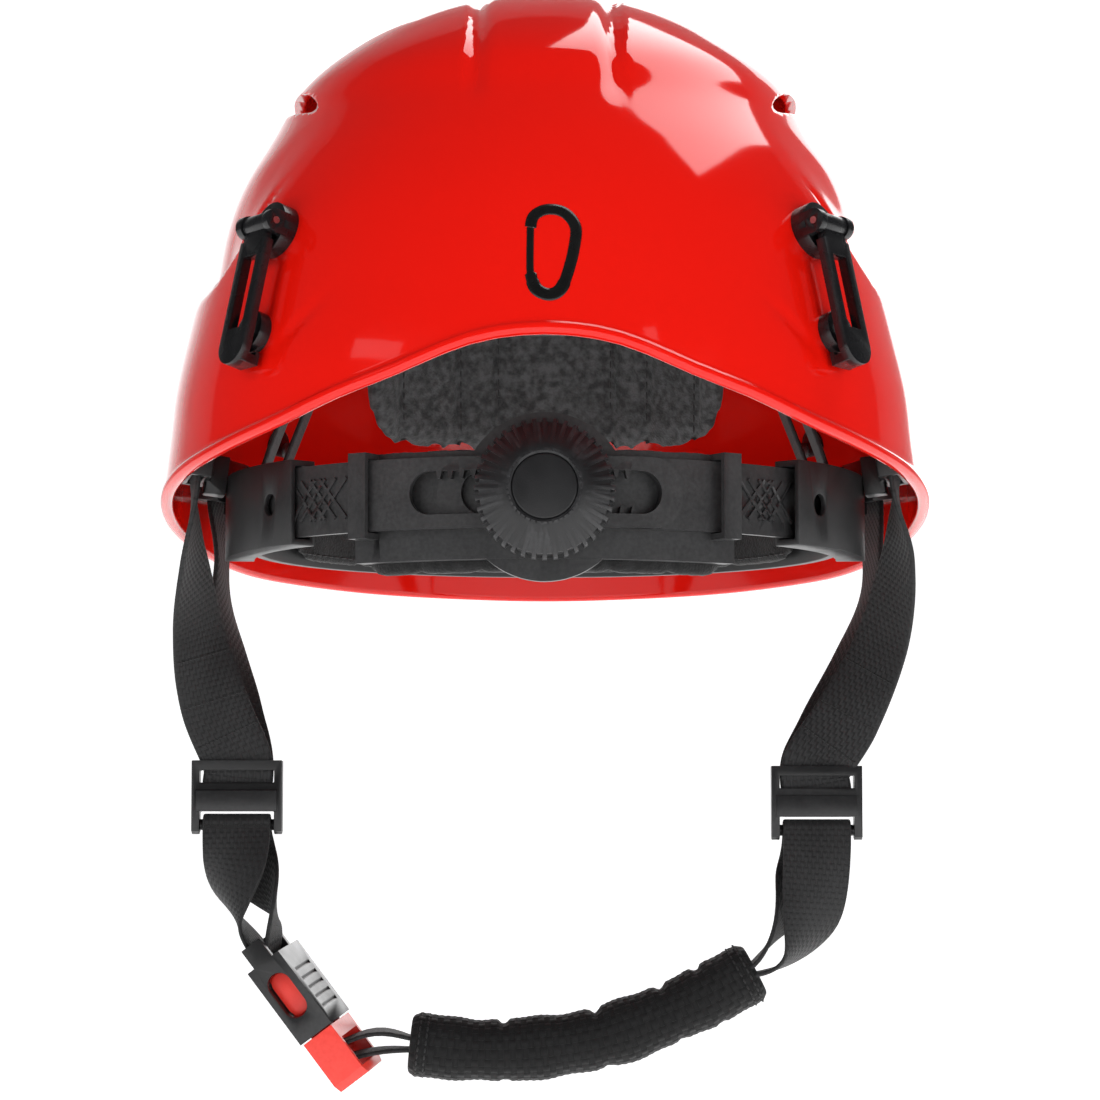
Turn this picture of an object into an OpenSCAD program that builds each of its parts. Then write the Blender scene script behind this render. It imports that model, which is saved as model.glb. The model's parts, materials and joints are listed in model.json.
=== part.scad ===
// Climbing helmet with suspension cradle, dial headband and buckled chin strap.
// Z is up, +Y is the wearer's front, and the origin is the middle of the headband ring.

/* [Shell] */
// Half width of the shell at its side rim
shell_half_width = 109.8; // [95:0.2:125]
// Reach of the shell behind its plan centre
shell_rear = 131; // [110:0.5:150]
// Reach of the shell in front of its plan centre
shell_front = 135; // [110:0.5:150]
// Wall thickness
shell_wall = 2.8; // [2:0.1:4]
// Depth of the two long crown grooves
groove_depth = 1.9; // [0:0.1:2.2]
// Distance of each crown groove from the middle
groove_x = 19.5; // [12:0.5:30]
// Height of the step between the side panels
step_height = 3; // [0:0.1:4]
// Extra thickness of the rolled rim
lip = 0.9; // [0:0.1:2]

/* [Lamp clips] */
// Bearing round the plan of the rear clips, from the rear centre line
clip_rear_angle = 41.5; // [30:0.5:60]
// Bearing round the plan of the front clips, from the front centre line
clip_front_angle = 47; // [30:1:60]
// Height of the middle of the rear clips
clip_rear_z = 53; // [40:1:70]
// Height of the middle of the front clips
clip_front_z = 42; // [25:1:60]
// Width of a clip arm
clip_width = 11.5; // [9:0.5:14]
// Hinge pin diameter
clip_pin_d = 2; // [1.6:0.1:2.6]

/* [Headband] */
// Outer radius of the headband's rear arc
band_r = 88.8; // [80:0.2:95]
// Centre of the rear arc along Y
band_y = -10; // [-20:0.5:0]
// Height of the middle of the headband's rear part
band_z = -4; // [-8:0.5:2]
// Centre of the front arc along Y
brow_y = 8; // [0:0.5:20]
// Height of the rack strips
strip_h = 19; // [15:0.5:24]
// Thickness of each rack strip
strip_t = 1.8; // [1.4:0.1:2.2]
// Module of the rack and pinion teeth
tooth_m = 1; // [0.8:0.05:1.2]
// Teeth on the pinion
pinion_teeth = 9; // [8:1:11]
// Dial knob diameter
knob_d = 37; // [30:0.5:44]
// Dial knob thickness
knob_t = 12; // [8:0.5:16]

/* [Cradle and pads] */
// Half width of the crown pad dome
pad_a = 70; // [60:1:78]
// Half length of the crown pad dome
pad_b = 82; // [70:1:90]
// Top of the crown pad dome
pad_top = 116; // [100:1:120]
// Thickness of the crown pad
pad_t = 7; // [4:0.5:12]

/* [Chin strap] */
// Webbing width
web_w = 20; // [15:1:25]
// Webbing thickness
web_t = 1.4; // [1:0.1:2]
// Radius of the divider bars
bar_r = 1.6; // [1.2:0.1:2.2]
// Half height of the padded chin sleeve
chin_pad_r = 9.2; // [7:0.1:11]

/* [Hidden] */
$fn = 48;
yc = 4;
cols = 88;
rows = 26;
plan_n = 2.05;

// Side profile of the shell: share of the half width, and height.
prof = [[1.015, -15], [1, 3.5], [0.9845, 18], [0.969, 33], [0.94, 48], [0.905, 63], [0.86, 78], [0.8, 92],
    [0.726, 106], [0.6585, 119.3], [0.5546, 130], [0.4317, 138.8], [0.31, 144.2], [0.16, 146.3], [0, 146.6]];
t_max = len(prof) - 1;

// Height of the rim against the bearing from the rear centre line.
rim_table = [[-40, 24], [-11, 35], [0, 36.4], [9, 34.5], [18, 25.5], [26, 21.5], [35, 15], [50, 9.5], [78, 2.8],
    [100, -3], [130, -11], [155, -13.3], [180, -14.4], [220, -12]];

function ctl(i) = i < 0 ? 2 * prof[0] - prof[1]
    : (i > t_max ? [-prof[2 * t_max - i][0], prof[2 * t_max - i][1]] : prof[i]);
function cr(a, b, c, d, t) = b + 0.5 * t * ((c - a) + t * (2 * a - 5 * b + 4 * c - d + t * (3 * (b - c) + d - a)));
function pt(t, i) = cr(ctl(i - 1), ctl(i), ctl(i + 1), ctl(i + 2), t - i);
function p2(t) = pt(t, min(floor(t), t_max - 1));
z_to_t = [for (k = [0:140]) [p2(k / 10)[1], k / 10]];
function t_of(z) = lookup(z, z_to_t);
function from_rear(th) = acos(-sin(th));
function rim_z(th) = (lookup(from_rear(th) - 3, rim_table) + 2 * lookup(from_rear(th), rim_table)
    + lookup(from_rear(th) + 3, rim_table)) / 4;
function plan_r(th) = 1 / pow(pow(abs(cos(th)) / shell_half_width, plan_n)
    + pow(abs(sin(th)) / (sin(th) > 0 ? shell_front : shell_rear), plan_n), 1 / plan_n);
function base(th, t) = [plan_r(th) * p2(t)[0] * cos(th), yc + plan_r(th) * p2(t)[0] * sin(th), p2(t)[1]];
function unit(v) = v / max(norm(v), 1e-9);
function nrm(th, t) = t > t_max - 0.02 ? [0, 0, 1]
    : unit(cross(base(th + 0.5, t) - base(th - 0.5, t), base(th, t + 0.02) - base(th, t - 0.02)));
function sm(x) = x < 0 ? 0 : (x > 1 ? 1 : x * x * (3 - 2 * x));
function bell(x) = exp(-x * x);
function step_z(y) = y < 0 ? 63 - 29 * y / 45 : 63 - 5 * y / 60;
function groove(p) = -groove_depth * bell((abs(p[0]) - groove_x) / 2.6) * sm((p[1] + 96) / 22) * sm((100 - p[1]) / 30)
    * sm((p[2] - 100) / 12);
function step(p) = abs(p[0]) < 50 ? 0 : -step_height * sm((p[2] - step_z(p[1])) / 2.5)
    * (1 - sm((p[2] - step_z(p[1])) / 34)) * sm((p[1] + 55) / 40) * sm((78 - p[1]) / 36);
function bump(p, up) = groove(p) + step(p) + lip * bell(up / 2.2);
function row_t(th, j) = j == 0 ? t_of(rim_z(th)) : (j == 1 ? t_of(rim_z(th) + 2.6)
    : t_of(rim_z(th) + 2.6) + (t_max - t_of(rim_z(th) + 2.6)) * (j - 1) / (rows - 1));
function skin(th, j, w) = base(th, row_t(th, j)) + nrm(th, row_t(th, j))
    * (bump(base(th, row_t(th, j)), j == 0 ? 0 : (j == 1 ? 2.6 : 99)) * (w > 0 ? 1 : 1) - w);

// The vents are grid cells left out of both skins.
function wrap(i) = (i + 10 * cols) % cols;
function side_i(i) = wrap(i) < cols / 4 ? wrap(i)
    : (wrap(i) >= cols * 3 / 4 ? wrap(i) - cols : cols / 2 - 1 - wrap(i));
function hole(i, j) = (side_i(i) >= -5 && side_i(i) < 5 && j == 18)
    || (side_i(i) >= -2 && side_i(i) < 7 && j == 10);
function gid(i, j, side) = j == rows ? 2 * cols * rows + side : (side * rows + j) * cols + wrap(i);

module shell() {
    pts = concat(
        [for (s = [0, 1]) for (j = [0:rows - 1]) for (i = [0:cols - 1]) skin(360 * i / cols, j, s * shell_wall)],
        [for (s = [0, 1]) [0, yc, p2(t_max)[1] - s * shell_wall]]);
    outer = [for (j = [0:rows - 1]) for (i = [0:cols - 1]) if (!hole(i, j)) each (j == rows - 1
        ? [[gid(i, j, 0), gid(i, rows, 0), gid(i + 1, j, 0)]]
        : [[gid(i, j, 0), gid(i + 1, j + 1, 0), gid(i + 1, j, 0)],
            [gid(i, j, 0), gid(i, j + 1, 0), gid(i + 1, j + 1, 0)]])];
    inner = [for (j = [0:rows - 1]) for (i = [0:cols - 1]) if (!hole(i, j)) each (j == rows - 1
        ? [[gid(i, j, 1), gid(i + 1, j, 1), gid(i, rows, 1)]]
        : [[gid(i, j, 1), gid(i + 1, j, 1), gid(i + 1, j + 1, 1)],
            [gid(i, j, 1), gid(i + 1, j + 1, 1), gid(i, j + 1, 1)]])];
    rim = [for (i = [0:cols - 1]) each quad([i, 0], [i + 1, 0])];
    walls = [for (j = [1:rows - 2]) for (i = [0:cols - 1]) if (hole(i, j)) each concat(
        hole(i, j - 1) ? [] : quad([i + 1, j], [i, j]),
        hole(i, j + 1) ? [] : quad([i, j + 1], [i + 1, j + 1]),
        hole(i - 1, j) ? [] : quad([i, j], [i, j + 1]),
        hole(i + 1, j) ? [] : quad([i + 1, j + 1], [i + 1, j]))];
    color("red")
        polyhedron(points = pts, faces = concat(outer, inner, rim, walls), convexity = 8);
}

function quad(a, b) = [[gid(a[0], a[1], 0), gid(b[0], b[1], 0), gid(b[0], b[1], 1)],
    [gid(a[0], a[1], 0), gid(b[0], b[1], 1), gid(a[0], a[1], 1)]];

// A frame on the shell: X runs along the rim, Y up the shell, Z out of it.
function on_shell(th, z) = let (t = t_of(z), n = nrm(th, t), p = base(th, t),
    u = unit(base(th, t + 0.02) - base(th, t - 0.02)), x = cross(u, n))
    [[x[0], u[0], n[0], p[0]], [x[1], u[1], n[1], p[1]], [x[2], u[2], n[2], p[2]], [0, 0, 0, 1]];

module at_clip(front, right) {
    th = front ? (right ? 90 - clip_front_angle : 90 + clip_front_angle)
        : (right ? 270 + clip_rear_angle : 270 - clip_rear_angle);
    multmatrix(on_shell(th, front ? clip_front_z : clip_rear_z))
        children();
}

// Clip local sizes: the hinge stands up the shell from the middle, the catch below it.
hinge_u = 16;
hinge_n = 6.2;
catch_u = -13.5;

module clip_mount() {
    color("black")
        difference() {
            union() {
                translate([0, hinge_u, -2.4])
                    cylinder(d = 15, h = 6);
                translate([0, hinge_u, -6])
                    cylinder(d = 6, h = 5);
                for (s = [-1, 1])
                    translate([s * 6.2, hinge_u, hinge_n])
                        rotate([0, 90, 0])
                            cylinder(d = 6.4, h = 2.4, center = true);
                for (s = [-1, 1])
                    translate([s * 6.2 - 1.2, hinge_u - 3.2, 2])
                        cube([2.4, 6.4, hinge_n - 2]);
                translate([0, catch_u, -3.6])
                    cylinder(d = 11.5, h = 6.8);
                translate([0, catch_u, -7])
                    cylinder(d = 5, h = 5);
            }
            translate([0, hinge_u, hinge_n])
                rotate([0, 90, 0])
                    cylinder(d = clip_pin_d, h = 30, center = true);
            translate([-4.9, hinge_u - 4, 3.1])
                cube([9.8, 8, 10]);
            translate([0, catch_u, 2.2])
                cylinder(d = 6.5, h = 3);
        }
}

module clip_pin() {
    color("silver")
        translate([0, hinge_u, hinge_n])
            rotate([0, 90, 0])
                cylinder(d = clip_pin_d, h = 14.8, center = true);
}

module clip_arm() {
    w = clip_width;
    color("black")
        difference() {
            union() {
                translate([0, hinge_u, hinge_n])
                    rotate([0, 90, 0])
                        cylinder(d = 5.6, h = 9.2, center = true);
                translate([-4.6, hinge_u - 6, hinge_n - 1.4])
                    cube([9.2, 6, 2.8]);
                translate([-w / 2, -19, hinge_n - 1.4])
                    cube([w, 30, 2.8]);
                translate([0, -19, hinge_n - 1.4])
                    cylinder(d = w, h = 2.8);
                translate([-4, -23.6, 0.6])
                    cube([8, 2.6, hinge_n - 0.6]);
                translate([-4, -23.6, 0.6])
                    cube([8, 3.6, 1.4]);
            }
            translate([0, hinge_u, hinge_n])
                rotate([0, 90, 0])
                    cylinder(d = clip_pin_d + 0.12, h = 30, center = true);
            translate([-w / 2 + 2.7, -14.5, 0])
                cube([w - 5.4, 21, 12]);
        }
}

module clip_mount_rear_left() { at_clip(false, false) clip_mount(); }
module clip_mount_rear_right() { at_clip(false, true) clip_mount(); }
module clip_mount_front_left() { at_clip(true, false) clip_mount(); }
module clip_mount_front_right() { at_clip(true, true) clip_mount(); }
module clip_pin_rear_left() { at_clip(false, false) clip_pin(); }
module clip_pin_rear_right() { at_clip(false, true) clip_pin(); }
module clip_pin_front_left() { at_clip(true, false) clip_pin(); }
module clip_pin_front_right() { at_clip(true, true) clip_pin(); }
module clip_arm_rear_left() { at_clip(false, false) clip_arm(); }
module clip_arm_rear_right() { at_clip(false, true) clip_arm(); }
module clip_arm_front_left() { at_clip(true, false) clip_arm(); }
module clip_arm_front_right() { at_clip(true, true) clip_arm(); }

// Headband layers, as radii about the rear arc's centre.
out_r1 = band_r;
out_r0 = band_r - strip_t;
in_r1 = out_r0 - 0.3;
in_r0 = in_r1 - strip_t;
grid_t = 0.5;
sleeve_in = in_r0 - 0.3;
sleeve_out = out_r1 + grid_t + 0.4;
pitch_r = tooth_m * pinion_teeth / 2;
tip_r = pitch_r + 0.9 * tooth_m;
slot_h = pitch_r + 1.25 * tooth_m;
pitch_mm = PI * tooth_m;

// An arc of a ring about Z, with the rear at 270 degrees.
module arc(r0, r1, z0, z1, a0, a1) {
    rotate([0, 0, a0])
        rotate_extrude(angle = a1 - a0, $fn = 96)
            translate([r0, z0])
                square([r1 - r0, z1 - z0]);
}

// A rack strip. Bearings are given for the left one; m is -1 for the right one, whose teeth stand on the lower edge.
function side_a(a, m) = m > 0 ? a : 540 - a;
module strip(r0, r1, a_end, a_tail, s0, s1, m) {
    rm = (r0 + r1) / 2;
    step_a = pitch_mm / rm * 180 / PI;
    t0 = min(side_a(s0, m), side_a(s1, m));
    t1 = max(side_a(s0, m), side_a(s1, m));
    difference() {
        union() {
            arc(r0, r1, -strip_h / 2, strip_h / 2, min(side_a(a_end, m), side_a(a_tail, m)),
                max(side_a(a_end, m), side_a(a_tail, m)));
            intersection() {
                arc(r0, r1, -strip_h / 2, strip_h / 2, side_a(a_tail, m) - 9, side_a(a_tail, m) + 9);
                rotate([0, 0, side_a(a_tail, m)])
                    rotate([0, 90, 0])
                        cylinder(d = strip_h, h = 100);
            }
        }
        arc(r0 - 2, r1 + 2, -slot_h, slot_h, t0, t1);
        for (a = [t0, t1])
            rotate([0, 0, a])
                translate([r0 - 10, 0, 0])
                    rotate([0, 90, 0])
                        cylinder(r = slot_h, h = 20);
    }
    for (k = [ceil((t0 + 1 - 270) / step_a) : floor((t1 - 1 - 270) / step_a)])
        rotate([0, 0, 270 + (k + (m > 0 ? 0 : 0.5)) * step_a])
            translate([r0, 0, 0])
                rotate([90, 0, 90])
                    linear_extrude(height = r1 - r0)
                        polygon([[-0.85, m * (slot_h + 0.3)], [-0.3, m * (pitch_r - 0.8 * tooth_m)],
                            [0.3, m * (pitch_r - 0.8 * tooth_m)], [0.85, m * (slot_h + 0.3)]]);
}

module lattice(r, a0, a1) {
    for (k = [0:3])
        for (s = [-1, 1])
            rotate([0, 0, a0 + (a1 - a0) * (k + 0.5) / 4])
                translate([r - 0.4, 0, 0])
                    rotate([s * 42, 0, 0])
                        translate([0, -0.45, -strip_h / 2 + 2.2])
                            cube([grid_t + 0.4, 0.9, strip_h - 4.4]);
}

module rack_strip_left() {
    color("dimgray")
        translate([0, band_y, band_z]) {
            strip(out_r0, out_r1, 207, 288.7, 249.8, 286.8, 1);
            lattice(out_r1, 221.5, 231.5);
        }
}

module rack_strip_right() {
    color("dimgray")
        translate([0, band_y, band_z]) {
            strip(in_r0, in_r1, 207, 283, 253, 281, -1);
            lattice(in_r1, 540 - 231.5, 540 - 221.5);
        }
}

module side_sleeve(a0, a1) {
    translate([0, band_y, band_z])
        difference() {
            arc(sleeve_in - 1.6, sleeve_out + 1.6, -11.6, 11.6, a0, a1);
            arc(sleeve_in, sleeve_out, -strip_h / 2 - 0.35, strip_h / 2 + 0.35, a0 + 4, a1 + 1);
            translate([0, 0, 0])
                rotate([0, 0, a1 - 6.5])
                    translate([sleeve_out - 1, 0, 0])
                        rotate([0, 90, 0])
                            cylinder(d = 6, h = 6);
        }
}

module side_sleeve_left() {
    color("black")
        side_sleeve(183, 221);
}

module side_sleeve_right() {
    color("black")
        mirror([1, 0, 0])
            side_sleeve(183, 221);
}

module front_band() {
    color("black") {
        translate([0, brow_y, 0])
            arc(sleeve_in - 1.6, sleeve_in + 0.9, -11.6, 11.6, 0, 180);
        for (s = [-1, 1])
            translate([s * (sleeve_in - 0.35) - 1.25, band_y - 4.3, -11.6])
                cube([2.5, brow_y - band_y + 4.3, 23.2]);
    }
}

module brow_pad() {
    color("gray")
        translate([0, brow_y, 4])
            rotate([0, 0, 22])
                rotate_extrude(angle = 136, $fn = 96)
                    translate([sleeve_in - 4.6, 0])
                        hull() {
                            translate([0, -12.5])
                                circle(d = 5, $fn = 16);
                            translate([0, 12.5])
                                circle(d = 5, $fn = 16);
                        }
}

module dial_housing() {
    color("black")
        difference() {
            union() {
                translate([0, band_y, band_z])
                    arc(sleeve_in - 4, sleeve_in, -17.5, 11.5, 233, 307);
                intersection() {
                    translate([0, band_y, band_z])
                        arc(sleeve_in - 3.5, sleeve_in - 0.4, -26, 26, 250, 290);
                    translate([0, band_y - sleeve_in, band_z - 1])
                        rotate([90, 0, 0])
                            cylinder(d = 45, h = 40, center = true);
                }
                for (s = [-1, 1])
                    translate([0, band_y, band_z])
                        rotate([0, 0, s * 33.5])
                            bridge();
            }
            translate([0, band_y - sleeve_in, band_z])
                rotate([90, 0, 0])
                    cylinder(d = 3, h = 30, center = true);
        }
}

// A loop that both strips run through.
module bridge() {
    difference() {
        arc(sleeve_in - 1.5, sleeve_out + 1.4, -11.5, 11.5, 268.2, 271.8);
        arc(sleeve_in - 0.1, sleeve_out, -strip_h / 2 - 0.35, strip_h / 2 + 0.35, 267, 273);
    }
}

knob_y = band_y - out_r1 - 1;

module dial_axle() {
    color("silver")
        translate([0, knob_y - knob_t + 4, band_z])
            rotate([-90, 0, 0])
                cylinder(d = 3, h = knob_t + 5.2);
}

module dial_pinion() {
    root_r = pitch_r - 1.25 * tooth_m;
    color("gray")
        translate([0, knob_y, band_z])
            rotate([-90, 0, 0])
                difference() {
                    union() {
                        translate([0, 0, -1])
                            cylinder(r = root_r, h = 3);
                        cylinder(r = tip_r, h = 5);
                    }
                    for (k = [0:pinion_teeth - 1])
                        rotate([0, 0, 270 + 360 * k / pinion_teeth])
                            translate([0, 0, -0.01])
                                linear_extrude(height = 6)
                                    polygon([[root_r + 0.05, -0.3], [root_r + 0.05, 0.3],
                                        [root_r + 0.33, 0.4], [tip_r - 0.22, 1.52], [tip_r + 1.1, 2.5],
                                        [tip_r + 1.1, -2.5], [tip_r - 0.22, -1.52], [root_r + 0.33, -0.4]]);
                    translate([0, 0, -5])
                        cylinder(d = 3.1, h = 20);
                }
}

module dial_knob() {
    r = knob_d / 2;
    color("black")
        translate([0, knob_y, band_z])
            rotate([90, 0, 0])
                difference() {
                    union() {
                        cylinder(r = r - 1.2, h = knob_t - 4.5);
                        translate([0, 0, knob_t - 4.5])
                            cylinder(r1 = r - 1.2, r2 = r - 8.2, h = 4.2);
                        for (k = [0:39])
                            rotate([0, 0, 9 * k])
                                rotate([0, 0, 0])
                                    linear_extrude(height = 1)
                                        translate([r - 3, -0.7])
                                            square([3, 1.4]);
                        for (k = [0:39])
                            rotate([0, 0, 9 * k])
                                rotate([90, 0, 0])
                                    linear_extrude(height = 1.1, center = true)
                                        polygon([[r - 4, 0.9], [r, 0.9], [r, knob_t - 5.5], [r - 0.9, knob_t - 4.2],
                                            [9.4, knob_t],
                                            [9.4, knob_t - 2], [r - 4, knob_t - 6]]);
                    }
                    translate([0, 0, -1])
                        cylinder(r = pitch_r - 1.25 * tooth_m, h = 2);
                    translate([0, 0, -1])
                        cylinder(d = 3.1, h = knob_t - 2.9);
                    translate([0, 0, knob_t - 2.3])
                        cylinder(d = 17.6, h = 4);
                }
}

module dial_cap() {
    color("black")
        translate([0, knob_y - knob_t + 2.3, band_z])
            rotate([90, 0, 0]) {
                cylinder(d = 17.6, h = 1.5);
                translate([0, 0, 1.5])
                    cylinder(d1 = 17.6, d2 = 16.6, h = 0.6);
            }
}

module nape_pad() {
    color("gray")
        translate([0, band_y, band_z])
            rotate([0, 0, 232])
                rotate_extrude(angle = 76, $fn = 96)
                    translate([sleeve_in - 7.4, -5])
                        hull() {
                            translate([0, -13])
                                circle(d = 6.4, $fn = 16);
                            translate([0, 15])
                                circle(d = 6.4, $fn = 16);
                        }
}

// Crown pad: a padded dome with long front and rear lobes.
function pad_low(th) = 80 - (sin(th) > 0 ? 54 : 40) * sm((abs(sin(th)) - 0.3) / 0.42);
function dome(th, f, off) = let (lo = asin((pad_low(th) - 20) / (pad_top - 20)), e = lo + (90 - lo) * f)
    [(pad_a + off) * cos(th) * cos(e), yc - 4 + (pad_b + off) * sin(th) * cos(e), 20 + (pad_top - 20 + off) * sin(e)];

module crown_pad() {
    nc = 48;
    nr = 10;
    pts = concat([for (s = [0, 1]) for (j = [0:nr - 1]) for (i = [0:nc - 1])
        dome(360 * i / nc, j / nr, -s * pad_t * (j == 0 ? 0.5 : 1) - (1 - s) * (j == 0 ? pad_t * 0.3 : 0))],
        [dome(0, 1, 0), dome(0, 1, -pad_t)]);
    faces = [for (s = [0, 1]) for (j = [0:nr - 1]) for (i = [0:nc - 1]) each patch(i, j, s, nc, nr)];
    rim = [for (i = [0:nc - 1]) each [[did(i, 0, 0, nc, nr), did(i + 1, 0, 0, nc, nr), did(i + 1, 0, 1, nc, nr)],
        [did(i, 0, 0, nc, nr), did(i + 1, 0, 1, nc, nr), did(i, 0, 1, nc, nr)]]];
    color("gray")
        polyhedron(points = pts, faces = concat(faces, rim), convexity = 6);
}

function did(i, j, s, nc, nr) = j == nr ? 2 * nc * nr + s : (s * nr + j) * nc + (i % nc);
function flip(f, s) = s == 0 ? f : [f[0], f[2], f[1]];
function patch(i, j, s, nc, nr) = j == nr - 1
    ? [flip([did(i, j, s, nc, nr), did(i, nr, s, nc, nr), did(i + 1, j, s, nc, nr)], s)]
    : [flip([did(i, j, s, nc, nr), did(i + 1, j + 1, s, nc, nr), did(i + 1, j, s, nc, nr)], s),
        flip([did(i, j, s, nc, nr), did(i, j + 1, s, nc, nr), did(i + 1, j + 1, s, nc, nr)], s)];

// A flat ribbon through points, each with the direction of its width.
function tan_at(p, i) = unit(p[min(i + 1, len(p) - 1)] - p[max(i - 1, 0)]);
function flat(p, w, i) = unit(w[i] - tan_at(p, i) * (w[i] * tan_at(p, i)));
module ribbon(p, w, width, t) {
    n = len(p);
    pts = [for (i = [0:n - 1]) each let (a = flat(p, w, i) * width / 2,
        b = cross(tan_at(p, i), flat(p, w, i)) * t / 2)
        [p[i] - a - b, p[i] + a - b, p[i] + a + b, p[i] - a + b]];
    sides = [for (i = [0:n - 2]) for (k = [0:3]) each let (a = 4 * i + k, b = 4 * i + (k + 1) % 4)
        [[a, b, b + 4], [a, b + 4, a + 4]]];
    e = 4 * (n - 1);
    ends = [[0, 2, 1], [0, 3, 2], [e, e + 1, e + 2], [e, e + 2, e + 3]];
    polyhedron(points = pts, faces = concat(sides, ends), convexity = 6);
}

// A smooth run through a list of stations.
function stn(L, i) = L[max(0, min(len(L) - 1, i))];
function run(L, per) = [for (i = [0:len(L) - 2]) for (k = [0:per - 1])
    cr(stn(L, i - 1), L[i], L[i + 1], stn(L, i + 2), k / per)];
function curve(L, per) = concat(run(L, per), [L[len(L) - 1]]);

// Cradle straps lie over the dome from one side of the headband to the other.
function over(y0, a) = let (k = sqrt(max(0, 1 - pow(y0 / (pad_b + 2.4), 2))))
    [(pad_a + 2.4) * k * cos(a), yc - 4 + y0, 20 + (pad_top - 17.6) * k * sin(a)];
module cradle(y0) {
    n = 30;
    arch = [for (i = [0:n]) over(y0, 14 + 152 * i / n)];
    foot = [for (s = [-1, 1]) [s * 79.4, yc - 4 + y0, 0]];
    knee = [for (s = [-1, 1]) [s * 79, yc - 4 + y0, 10]];
    p = concat([foot[1], knee[1]], arch, [knee[0], foot[0]]);
    ribbon(p, [for (q = p) [0, 1, 0]], 18, 1.2);
}

module cradle_front() {
    color("black")
        cradle(26);
}

module cradle_rear() {
    color("black")
        cradle(-26);
}

// Hangers carry the headband and the straps from the shell's inner wall.
hang_z = 14;
hang_rear = 16;
hang_front = 20;
slot_n = -shell_wall - 5;
module hanger(th, reach) {
    color("black")
        multmatrix(on_shell(th, hang_z))
            difference() {
                union() {
                    translate([-13, -6.5, -shell_wall - 8.6])
                        cube([26, 13, 9.2]);
                    translate([-4, -10, -shell_wall - 8.6 - reach])
                        cube([8, 11, reach + 1]);
                }
                translate([-10.9, -10, slot_n - 1.5])
                    cube([21.8, 20, 3]);
            }
}

module hanger_front_left() { hanger(180 - hang_front, 12.6); }
module hanger_front_right() { hanger(hang_front, 12.6); }
module hanger_rear_left() { hanger(180 + hang_rear, 5.2); }
module hanger_rear_right() { hanger(-hang_rear, 5.2); }

// A point on a hanger's own axes, and the direction of its webbing's width.
function hp(th, y, n) = let (t = t_of(hang_z), u = unit(base(th, t + 0.02) - base(th, t - 0.02)))
    base(th, t) + u * y + nrm(th, t) * n;
function hw(th) = let (t = t_of(hang_z), u = unit(base(th, t + 0.02) - base(th, t - 0.02))) cross(u, nrm(th, t));

// Chin strap stations.
div_l = [-88.5, 0, -83.4];
div_r = [78, 0, -85];
module strap(L, W) {
    ribbon(curve(L, 6), curve(W, 6), web_w, web_t);
}

module strap_rear_left() {
    th = 180 + hang_rear;
    color("black")
        strap([hp(th, 5, slot_n), hp(th, -8, slot_n), [-100.5, -17, -14], [-99.8, -6, -34],
            [-95, -2, -56], div_l + [-0.2, -1, 12]],
            [-hw(th), -hw(th), [0.2, 0.95, 0.1], [0.6, 0.75, 0.1], [0.94, 0.25, 0.1], [1, 0, 0.1]]);
}

module strap_rear_right() {
    th = -hang_rear;
    color("black")
        strap([hp(th, 5, slot_n), hp(th, -8, slot_n), [100.8, -17, -14], [96.6, -7, -38],
            [86.5, -2, -60], div_r + [0.2, -1, 12]],
            [-hw(th), -hw(th), [0.3, -0.9, 0.1], [0.65, -0.7, 0.1], [0.9, -0.3, 0.1], [1, 0, 0.1]]);
}

module strap_front_left() {
    th = 180 - hang_front;
    color("black")
        strap([hp(th, 5, slot_n), hp(th, -8, slot_n), [-96, 31, -16], [-93.6, 18, -36],
            [-91.5, 7, -56], div_l + [0.2, 1, 12]],
            [-hw(th), -hw(th), [0.1, 0.9, -0.4], [0.5, 0.8, -0.3], [0.92, 0.35, -0.1], [1, 0, 0.1]]);
}

module strap_front_right() {
    th = hang_front;
    color("black")
        strap([hp(th, 5, slot_n), hp(th, -8, slot_n), [97, 31, -16], [91, 18, -38],
            [83, 7, -60], div_r + [-0.2, 1, 12]],
            [-hw(th), -hw(th), [0.2, -0.9, 0.4], [0.6, -0.75, 0.3], [0.9, -0.35, 0.1], [1, 0, 0.1]]);
}

// A divider: a moulded block with a slot for the two straps, and a round lower bar between cheeks.
bar_z = -6.8;
module divider(p) {
    color("black")
        translate(p)
            difference() {
                union() {
                    translate([-13, -2.8, -3])
                        cube([26, 5.6, 14.6]);
                    translate([-11.6, -3.8, -3])
                        cube([23.2, 7.6, 6]);
                    for (s = [-1, 1])
                        translate([s * 11.85, 0, bar_z + 2.2])
                            cube([2.3, 5.6, 8.6], center = true);
                    translate([-12, 0, bar_z])
                        rotate([0, 90, 0])
                            cylinder(r = bar_r, h = 24);
                    for (s = [-1, 1])
                        translate([s * 11.85, 0, bar_z])
                            rotate([0, 90, 0])
                                cylinder(r = 2.8, h = 2.3, center = true);
                }
                translate([-10.7, -2, 3.6])
                    cube([21.4, 4, 20]);
                translate([-10.7, -6, 5.2])
                    cube([21.4, 12, 3.6]);
            }
}

module divider_left() { divider(div_l); }
module divider_right() { divider(div_r); }

// Buckle frame: its Z runs from the female's webbing bar to the male's.
bk = [-81, 0, -124];
bk_tilt = 143;
bk_roll = 11;
bk_z = [sin(bk_tilt), 0, cos(bk_tilt)];
bk_y = [-sin(bk_roll) * cos(bk_tilt), cos(bk_roll), sin(bk_roll) * sin(bk_tilt)];
bk_x = cross(bk_y, bk_z);
module at_buckle() {
    translate(bk)
        rotate([0, bk_tilt, 0])
            rotate([0, 0, bk_roll])
                children();
}
pin_r = 1.3;
female_bar = 1.4;
male_bar = 38.5;

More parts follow.
